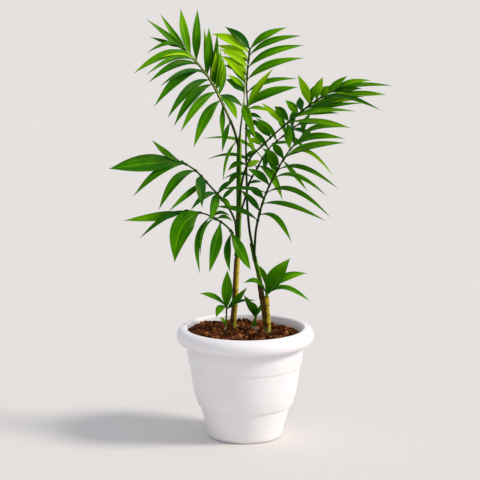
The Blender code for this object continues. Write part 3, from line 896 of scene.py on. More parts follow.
@dataclass(frozen=True)
class Pot:
    """A nursery pot turned in one piece, with a hollow rolled lip and drain holes."""

    floor: float = 3.0
    lip_centre: Pair = (88.0, 150.5)
    lip_outer: Pair = (11.8, 12.5)
    lip_wall: float = 2.6
    lip_lowest_angle: int = -46
    outer_wall: tuple[Pair, ...] = (
        (86.4, 155.0), (86.0, 141.0), (85.6, 138.0), (84.7, 136.2), (84.2, 127.0), (83.6, 120.0),
        (82.0, 109.4), (81.4, 107.0), (80.2, 105.4), (79.7, 101.0), (77.6, 86.0), (75.0, 70.0),
        (73.0, 62.0), (70.8, 55.0), (69.2, 50.6), (68.0, 48.0), (65.2, 46.0), (64.4, 43.6),
        (62.6, 37.0), (57.6, 19.0), (53.6, 4.6), (51.6, 1.2), (48.6, 0.0),
    )
    inner_wall: tuple[Pair, ...] = (
        (45.5, 3.0), (49.5, 5.5), (59.8, 40.0), (65.4, 50.0), (71.4, 67.0), (78.6, 108.0),
        (81.6, 132.0), (83.4, 154.0), (84.4, 161.0),
    )
    bead_groove: float = 0.5
    drain_holes: int = 6
    drain_radius: float = 4.5
    drain_circle: float = 34.0
    drain_sides: int = 28
    turn_steps: int = 168
    corner: float = 1.1

    def lip_arc(self, inset: float, first: int, last: int, step: int) -> list[Pair]:
        """Finds points of the rolled lip.

        Args:
            inset: How far they lie in from its outer skin.
            first: The angle that they start from, in degrees.
            last: The angle before which they end.
            step: The angle between two points.

        Returns:
            The points.
        """
        (r, z), (a, b) = self.lip_centre, self.lip_outer
        turns = [math.radians(t) for t in range(first, last, step)]
        return [(r + (a - inset) * math.cos(t), z + (b - inset) * math.sin(t)) for t in turns]

    def profile(self) -> list[Pair]:
        """Draws the pot's outline.

        Returns:
            Its points from the inner floor over the lip to the outer floor.
        """
        low = self.lip_lowest_angle
        bead = self.lip_arc(0.0, 96, 83, -5)
        groove = self.lip_arc(self.bead_groove, 82, 79, -2)
        outer = [*bead, *groove, *self.lip_arc(0.0, 76, low - 1, -6)]
        inner = self.lip_arc(self.lip_wall, low, 86, 12)
        return [(0.0, self.floor), *self.inner_wall, *outer, *inner, *self.outer_wall, (0.0, 0.0)]

    def build(self) -> None:
        """Turns the pot and drills its drain holes."""
        bm = new_mesh()
        turned(bm, self.profile(), self.turn_steps, 0.01, self.corner)
        pot = finished("pot_shell", bm, PlasticFinish().material())
        self.drill(pot)
        add_to_palm(pot, "white_plastic", "pot")

    def drill(self, pot: Object) -> None:
        """Cuts the drain holes out of the floor.

        Args:
            pot: The pot without them.
        """
        bm = new_mesh()
        for k in range(self.drain_holes):
            turn = WHOLE_TURN * (k + 0.5) / self.drain_holes
            place = Vector((math.cos(turn), math.sin(turn), 0.0)) * self.drain_circle
            bmesh.ops.create_cone(
                bm, cap_ends=True, segments=self.drain_sides, radius1=self.drain_radius,
                radius2=self.drain_radius, depth=4 * self.floor, matrix=Matrix.Translation(place),
            )
        drill = finished("drill", bm, pot.data.materials[0])
        cut = pot.modifiers.new("drain_holes", "BOOLEAN")
        cut.operation = "DIFFERENCE"
        cut.solver = "EXACT"
        cut.object = drill
        graph = bpy.context.evaluated_depsgraph_get()
        pot.data = bpy.data.meshes.new_from_object(pot.evaluated_get(graph))
        pot.modifiers.clear()
        bpy.data.objects.remove(drill, do_unlink=True)


@dataclass(frozen=True)
class Soil:
    """Potting soil that fills the pot, lumpy on top and strewn with crumbs."""

    top: float = 153.0
    tilt: float = 0.05
    lump: float = 2.6
    lump_size: float = 13.0
    clod: float = 2.2
    clod_size: float = 6.5
    rough_size: float = 2.3
    gap: float = 0.35
    foot: Pair = (45.1, 3.35)
    rim: float = 83.0
    turn_steps: int = 150
    rings: int = 55
    bed_paleness: float = 0.30
    crumbs: int = 1500
    big_crumbs: int = 210
    big_sizes: Pair = (2.2, 4.2)
    small_sizes: Pair = (0.7, 2.3)
    squashed: Pair = (0.75, 1.25)
    flecks: float = 0.03
    fleck_paleness: float = 1.05
    fleck_size: float = 0.9
    knocked: float = 0.45
    seed: int = 11
    keep_off: tuple[tuple[float, float, float], ...] = (
        (-18.0, 31.0, 5.5), (33.0, 12.0, 6.0), (27.2, 10.3, 4.5), (-29.0, 12.0, 2.5), (13.0, 18.0, 4.0),
    )

    def height(self, x: float, y: float) -> float:
        """Finds the height of the lumpy surface at a place.

        Args:
            x: The place's x, in mm.
            y: The place's y, in mm.

        Returns:
            The height, in mm.
        """
        place = Vector((x, y, 0.0))
        near = noise.voronoi(place / self.clod_size)[0]
        rough = 0.5 * noise.noise(place / self.rough_size)
        lumps = self.lump * noise.noise(place / self.lump_size)
        return self.top - self.tilt * x + lumps + self.clod * (0.45 - near[0]) + rough

    def build(self) -> None:
        """Turns the body of soil, breaks up its surface and strews the crumbs."""
        earth = SoilFinish().material()
        bm = new_mesh("clod")
        sides = [(r - self.gap, z) for r, z in Pot.inner_wall[1:-2]]
        surface = [(self.rim * k / self.rings, self.top) for k in range(self.rings, -1, -1)]
        turned(bm, [(0.0, self.foot[1]), self.foot, *sides, *surface], self.turn_steps, 0.005)
        clod = bm.verts.layers.float_vector["clod"]
        for vert in bm.verts:
            vert[clod] = Vector((self.bed_paleness, 0.0, 0.0))
            if vert.co.z > self.top - 1:
                vert.co.z = self.height(vert.co.x, vert.co.y)
        add_to_palm(finished("soil_bed", bm, earth, 180.0), "potting_soil", "soil")
        add_to_palm(self.strew(earth), "potting_soil")

    def strew(self, earth: Material) -> Object:
        """Lays crumbs over the surface, the big ones first.

        Args:
            earth: The soil's finish.

        Returns:
            All crumbs as one piece.
        """
        draw = random.Random(self.seed)
        smallest, largest = self.small_sizes
        bm = new_mesh("clod")
        clod = bm.verts.layers.float_vector["clod"]
        for k in range(self.crumbs):
            big = k < self.big_crumbs
            if big:
                radius = draw.uniform(*self.big_sizes)
            else:
                radius = smallest + (largest - smallest) * draw.random() ** 2
            out = (self.rim - 1.5 - radius) * math.sqrt(draw.random())
            turn = draw.uniform(0, WHOLE_TURN)
            x, y = out * math.cos(turn), out * math.sin(turn)
            paleness = draw.triangular(0.05, 0.75, 0.34)
            if draw.random() < self.flecks:
                paleness, radius = self.fleck_paleness, self.fleck_size
            size = Vector(draw.uniform(*self.squashed) for _ in range(3)) * radius
            spin = Matrix.Rotation(turn * 3, 4, "Z") @ Matrix.Rotation(draw.uniform(-1, 1), 4, "X")
            if any(math.hypot(x - a, y - b) < c + 0.5 * radius for a, b, c in self.keep_off):
                continue
            place = Vector((x, y, self.height(x, y) + 0.25 * radius))
            matrix = Matrix.Translation(place) @ spin @ Matrix.Diagonal((*size, 1.0))
            crumb = bmesh.ops.create_icosphere(
                bm, subdivisions=2 if big else 1, radius=1.0, matrix=matrix
            )
            for vert in crumb["verts"]:
                knock = noise.noise(vert.co / (0.9 * radius)) * self.knocked * radius
                vert.co += (vert.co - place).normalized() * knock
                vert[clod] = Vector((paleness, 0.0, 0.0))
        return finished("soil_crumbs", bm, earth, 25.0)


# Canes, stalks and blades


@dataclass(frozen=True)
class Rod:
    """A standing stem with a radius at each height and a low ring where each old leaf was."""

    points: tuple[Point, ...]
    radii: tuple[Pair, ...]
    scars: tuple[float, ...] = ()
    scar_rise: float = 0.55
    waist: float = 0.15
    uneven: float = 0.14
    step: float = 1.5
    sides: int = 28

    def centre_line(self) -> list[Vector]:
        """The stem's centre line."""
        return smooth_path(self.points, 80)

    def near_scar(self, height: float, above: float, spread: float) -> float:
        """How near a height is, from 0 to 1, to what lies so far above each scar."""
        return sum(bell(height - scar - above, spread) for scar in self.scars)

    def radius(self, height: float) -> float:
        """Finds the radius at a height, with its scars and a little unevenness.

        Args:
            height: The height, in mm.

        Returns:
            The radius, in mm.
        """
        ring = self.scar_rise * self.near_scar(height, 0.0, 1.1)
        ring -= self.waist * self.near_scar(height, -5.0, 4.0)
        wobble = noise.noise(Vector((height / 9, self.points[0][0], 0.0)))
        return between(self.radii, height) + ring + self.uneven * wobble

    def grow(self, bm: Mesh) -> None:
        """Adds the stem to a mesh, closed at both ends.

        Args:
            bm: The mesh.
        """
        rod = bm.verts.layers.float_vector["rod"]
        line = self.centre_line()
        low, high = line[0].z, line[-1].z
        path = levels(line, low, high, int((high - low) / self.step))
        # The "rod" values are counted from +x, the side towards the light, which the bark finish paints
        # lighter.
        rings = sweep(bm, path, [self.radius(p.z) for p in path], self.sides, Vector((1, 0, 0)))
        for ring, point in zip(rings, path):
            mark = min(1.0, self.near_scar(point.z, 1.2, 0.75))
            for vert in ring:
                vert[rod] = Vector((*vert[rod].xy, mark))
        close_ends(bm, rings)


@dataclass(frozen=True)
class Blade:
    """One leaf blade: a midrib that bows from base to tip, and two folded halves beside it."""

    base: Vector
    tip: Vector
    bow: Vector
    width: float
    upper: Vector
    shade: Shade
    seed: int
    widest: float
    freshness_and_light: float = 0.0
    crosswise: int = 8
    row: float = 3.2
    lean: float = 0.3
    hump: float = 0.035
    base_width: float = 1.5
    tip_width: float = 0.2
    edge: float = 0.3
    rib: float = 0.8
    rib_width: float = 1.3
    stem: float = 0.7
    twisted: float = 0.35
    uneven: float = 0.10
    fold: float = 0.28
    base_fold: float = 0.20
    tip_fold: float = 0.10
    cupped: float = 0.10
    wavy: float = 0.09

    def outline(self, s: float) -> float:
        """Finds how wide the blade is.

        Args:
            s: How far along the blade, from 0 to 1.

        Returns:
            The width there, as a share of the widest.
        """
        if s < self.widest:
            return math.sin(math.pi / 2 * max(s, 0.0) / self.widest) ** 1.1
        return max(math.cos(math.pi / 2 * (s - self.widest) / (1 - self.widest)), 0.0) ** 1.15

    def midrib(self, s: float) -> Vector:
        """Finds a point of the midrib.

        Args:
            s: How far along the blade it is, from 0 to 1.

        Returns:
            The point.
        """
        arc = 4 * s * (1 - s)
        along = self.tip - self.base
        rise = self.bow * arc * (1 + self.lean * (1 - 2 * s))
        return self.base + along * s + rise + self.upper * along.length * self.hump * arc

    def frame_at(self, s: float, twist: float) -> tuple[Vector, Vector, Vector]:
        """Finds how the blade lies at a place.

        Args:
            s: How far along the blade it is, from 0 to 1.
            twist: How far the whole blade is twisted.

        Returns:
            The midrib's point, the way across the blade and the way up from it.
        """
        ahead = (self.midrib(min(s + 0.01, 1.0)) - self.midrib(max(s - 0.01, 0.0))).normalized()
        across = self.upper.cross(ahead).normalized()
        turn = Matrix.Rotation(twist * (s - 0.35), 3, ahead)
        return self.midrib(s), turn @ across, turn @ ahead.cross(across)

    def grow(self, bm: Mesh) -> None:
        """Adds the blade to a mesh as a thin closed body, thickest along its midrib.

        Args:
            bm: The mesh.
        """
        blade = bm.verts.layers.float_vector["blade"]
        shade = bm.verts.layers.float_vector["shade"]
        draw = random.Random(self.seed)
        twist, phase = draw.uniform(-self.twisted, self.twisted), draw.uniform(0, WHOLE_TURN)
        # The tone adds the frond's offset, painted shade where it is below 0 and painted light where it
        # is above, to the leaf's shade.
        tone = self.shade.value + self.freshness_and_light + draw.uniform(-self.uneven, self.uneven)
        own = draw.random()
        length = (self.tip - self.base).length
        rows = min(max(int(length / self.row), 10), 30)
        grid = bmesh.ops.create_grid(bm, x_segments=rows, y_segments=self.crosswise, size=1.0)
        frames = {}
        for vert in grid["verts"]:
            t, u = (vert.co.x + 1) / 2, math.copysign(abs(vert.co.y) ** 1.35, vert.co.y)
            s = 0.5 * t + 0.25 * (1 - math.cos(math.pi * t))
            centre, across, up = frames.setdefault(round(s, 5), self.frame_at(s, twist))
            least = self.base_width + (self.tip_width - self.base_width) * s
            half = max(self.width * self.outline(s), least) / 2
            fold = self.fold + self.base_fold * (1 - s) ** 3 + self.tip_fold * s * s
            wave = self.wavy * u * abs(u) * math.sin(8 * s + phase) * 4 * s * (1 - s)
            lift = half * (fold * abs(u) - self.cupped * u * u + wave)
            vert.co = centre + across * half * u * (1 - 0.04 * abs(u)) + up * lift
            vert[blade] = Vector((u, s, 0.0))
            vert[shade] = Vector((tone, own, 0.0))
        for vert in second_skin(bm, grid["verts"]):
            u, s, _ = vert[blade]
            half = max(self.width * self.outline(s), 1.0) / 2
            rib = self.rib * (1 - 0.75 * s) * max(0.0, 1 - abs(u) * half / self.rib_width) ** 2
            stem = self.stem * bell(s * length, 4.0)
            vert.co -= self.frame_at(s, twist)[2] * (self.edge + rib + stem)
            vert[blade] = Vector((u, s, 1.0))


@dataclass(frozen=True)
class Leaflet:
    """A leaflet of a frond: its place on the stalk, its tip as seen, and its form."""

    place: float
    x: float
    z: float
    raised: float
    width: float
    arch: float
    shade: Shade = MID
    widest: float = 0.42


@dataclass(frozen=True)
class Leaf:
    """A leaf of a young shoot, in mm."""

    base: Point
    tip: Point
    bow: Point
    width: float
    face: Point
    shade: Shade = MID


# A leaflet's tip is given as the x and z where it is seen in the upright plane through the pot's
# axis, and it lies on that line of sight.
VIEWPOINT = Vector((0.0, -4500.0, 1218.5))


@dataclass(frozen=True)
class Sheath:
    """The foot of a frond, wrapped round its cane."""

    cane: Rod
    low: float
    high: float
    wall: float = 1.05
    foot: float = 0.45
    mouth: float = 0.35
    thickness: float = 0.6
    slant: float = 4.0
    step: float = 1.6
    sides: int = 28
    # The way towards the light: the sheath's stripe on this side is a painted highlight, and its far
    # side painted shade.
    sunny: Vector = Vector((0.78, -0.63, 0.0))
    stripe_narrowing: float = 0.98

    def grow(self, bm: Mesh, towards: Vector) -> None:
        """Adds the sheath to a mesh, its mouth highest where the stalk leaves it.

        Args:
            bm: The mesh.
            towards: The way in which the stalk leaves the cane.
        """
        rod = bm.verts.layers.float_vector["rod"]
        line = self.cane.centre_line()
        path = levels(line, self.low, self.high, max(int((self.high - self.low) / self.step), 6))
        radii = []
        for point in path:
            foot = self.foot * bell(point.z - self.low, 2.5)
            mouth = self.mouth * ease((point.z - self.high + 5) / 5)
            radii.append(between(self.cane.radii, point.z) + self.wall + foot + mouth)
        rings = sweep(bm, path, radii, self.sides, Vector((*towards.xy, 0.0)).normalized())
        for k, (ring, point) in enumerate(zip(rings, path)):
            share = k / (len(path) - 1)
            dry = 0.45 * ease((share - 0.95) / 0.05) + 0.4 * bell(share, 1 / 16)
            for vert in ring:
                # How far a point faces the light, which sets the painted highlight and the painted
                # shade.
                facing = (vert.co - point).normalized().dot(self.sunny)
                vert.co.z += self.slant * vert[rod].x * share ** 3
                vert[rod] = Vector((facing * self.stripe_narrowing, ON_SHEATH, dry))
        hollow(bm, rings, line, self.thickness)


@dataclass(frozen=True)
class Frond:
    """A stalk with its sheath and its leaflets, which grew as one piece."""

    name: str
    spine: tuple[Point, ...]
    radii: Pair
    face: Point
    sheath: Sheath
    leaflets: tuple[Leaflet, ...]
    stem: str = "dark_stalk"
    # Shifts every leaflet's green: below 0 on the left fronds it is painted shade, above 0 on the upper
    # right one painted light.
    freshness_and_light: float = 0.0
    slot: str = "deep_green"
    placing_steps: int = 14
    fine_steps: int = 70
    sides: int = 12
    flare: float = 1.1
    flare_length: float = 12.0
    swelling: float = 0.7
    groove: float = 0.30
    outwards: float = 0.5
    facing: float = 0.8
    rising: float = 0.4

    def stalk(self, finish: Material) -> Object:
        """Builds the stalk, which widens where it leaves its sheath and is grooved on top.

        Args:
            finish: Its finish.

        Returns:
            The stalk with its sheath.
        """
        bm = new_mesh("rod")
        rod = bm.verts.layers.float_vector["rod"]
        path = smooth_path(self.spine, self.fine_steps)
        length = sum((b - a).length for a, b in zip(path, path[1:]))
        radii = []
        for k in range(len(path)):
            share = k / self.fine_steps
            flare = self.flare * max(0.0, 1 - share * length / self.flare_length) ** 2
            swelling = sum(bell((share - leaflet.place) * length, 1.7) for leaflet in self.leaflets)
            taper = self.radii[0] + (self.radii[1] - self.radii[0]) * share
            radii.append(taper + flare + self.swelling * min(swelling, 1.0))
        rings = sweep(bm, path, radii, self.sides, Vector(self.face).normalized())
        for ring, centre, radius in zip(rings, path, radii):
            for vert in ring:
                inward = self.groove * radius * max(vert[rod].x, 0.0) ** 8
                vert.co -= (vert.co - centre).normalized() * inward
        close_ends(bm, rings)
        self.sheath.grow(bm, path[self.fine_steps // 5] - path[0])
        return finished(f"{self.name}_stalk", bm, finish)

    def blade(self, leaflet: Leaflet, path: Sequence[Vector], number: int) -> Blade:
        """Sets a leaflet on the stalk.

        Args:
            leaflet: Its form.
            path: The stalk's centre line.
            number: Which leaflet it is.

        Returns:
            The blade, its tip on its line of sight.
        """
        base, ahead = point_along(path, leaflet.place)
        face = Vector(self.face).normalized()
        normal = (face - ahead * face.dot(ahead)).normalized()
        sight = Vector((leaflet.x, 0.0, leaflet.z)) - VIEWPOINT
        share = ((base - VIEWPOINT).dot(normal) + leaflet.raised) / sight.dot(normal)
        tip = VIEWPOINT + sight * share
        way = (tip - base).normalized()
        side = normal.cross(ahead)
        side *= 1 if side.dot(way) > 0 else -1
        rise = Vector((0, 0, 1)) + self.outwards * side
        rise = (rise - way * rise.dot(way)).normalized()
        bow = rise * (tip - base).length * leaflet.arch
        upper = self.facing * normal + self.rising * (1 - abs(way.z)) * rise
        seed = number + 100 * int(abs(self.spine[-1][2]))
        form = leaflet.width, upper.normalized(), leaflet.shade, seed, leaflet.widest, self.freshness_and_light
        return Blade(base, tip, bow, *form)

    def build(self, leaf: Material, stem: Material) -> None:
        """Builds the stalk and the leaflets.

        Args:
            leaf: The leaflets' finish.
            stem: The stalk's finish.
        """
        add_to_palm(self.stalk(stem), self.slot, self.name)
        bm = new_mesh("blade", "shade")
        path = smooth_path(self.spine, self.placing_steps)
        for number, leaflet in enumerate(self.leaflets):
            self.blade(leaflet, path, number).grow(bm)
        add_to_palm(finished(f"{self.name}_leaflets", bm, leaf), self.slot)


@dataclass(frozen=True)
class Sprout:
    """A young shoot: short stems and the leaves that leave them."""

    name: str
    stems: tuple[Rod, ...]
    leaves: tuple[Leaf, ...]
    slot: str = "shoot_green"
    widest: float = 0.48

    def build(self, leaf_skin: Material, stem: Material) -> None:
        """Builds the stems and the leaves.

        Args:
            leaf_skin: The leaves' finish.
            stem: The stems' finish.
        """
        bm = new_mesh("rod")
        for rod in self.stems:
            rod.grow(bm)
        add_to_palm(finished(f"{self.name}_stems", bm, stem, 60.0), self.slot, self.name)
        bm = new_mesh("blade", "shade")
        for number, leaf in enumerate(self.leaves):
            base, tip, bow, face = (Vector(v) for v in (leaf.base, leaf.tip, leaf.bow, leaf.face))
            seed = number + 100 * len(self.name)
            form = leaf.width, face.normalized(), leaf.shade, seed, self.widest
            Blade(base, tip, bow, *form).grow(bm)
        add_to_palm(finished(f"{self.name}_leaves", bm, leaf_skin), self.slot)


# The plant's own measures, in mm


CANE_LEFT = Rod(
    (
        (-18, 31, 102), (-18, 31, 152), (-15, 27, 197), (-12, 20, 258), (-10, 14, 303),
        (-9, 9, 349), (-9, 4, 408), (-8, 2, 438),
    ),
    ((102, 4.6), (200, 4.5), (258, 4.2), (264, 2.9), (408, 2.7), (426, 2.3), (438, 0.9)),
    (166, 188, 212, 238),
)
CANE_RIGHT = Rod(
    ((33, 12, 102), (33, 12, 152), (31, 9, 186), (30, 7, 206)),
    ((102, 5.0), (206, 4.6)),
    (164, 178, 193),
)
STEM_RIGHT = Rod(
    (
        (31, 12.5, 130), (29.5, 11.5, 160), (25, 8.3, 195), (23, 5.5, 216), (20, 3, 238), (15, 1, 259),
        (11.5, 0, 274),
    ),
    ((130, 3.1), (190, 3.1), (216, 3.5), (232, 3.2), (237, 2.2), (274, 1.9)),
)


def leaflets(*rows: tuple) -> tuple[Leaflet, ...]:
    """A frond's leaflets from rows of place, x, z, raised, width, arch, shade and widest place."""
    return tuple(Leaflet(*row) for row in rows)


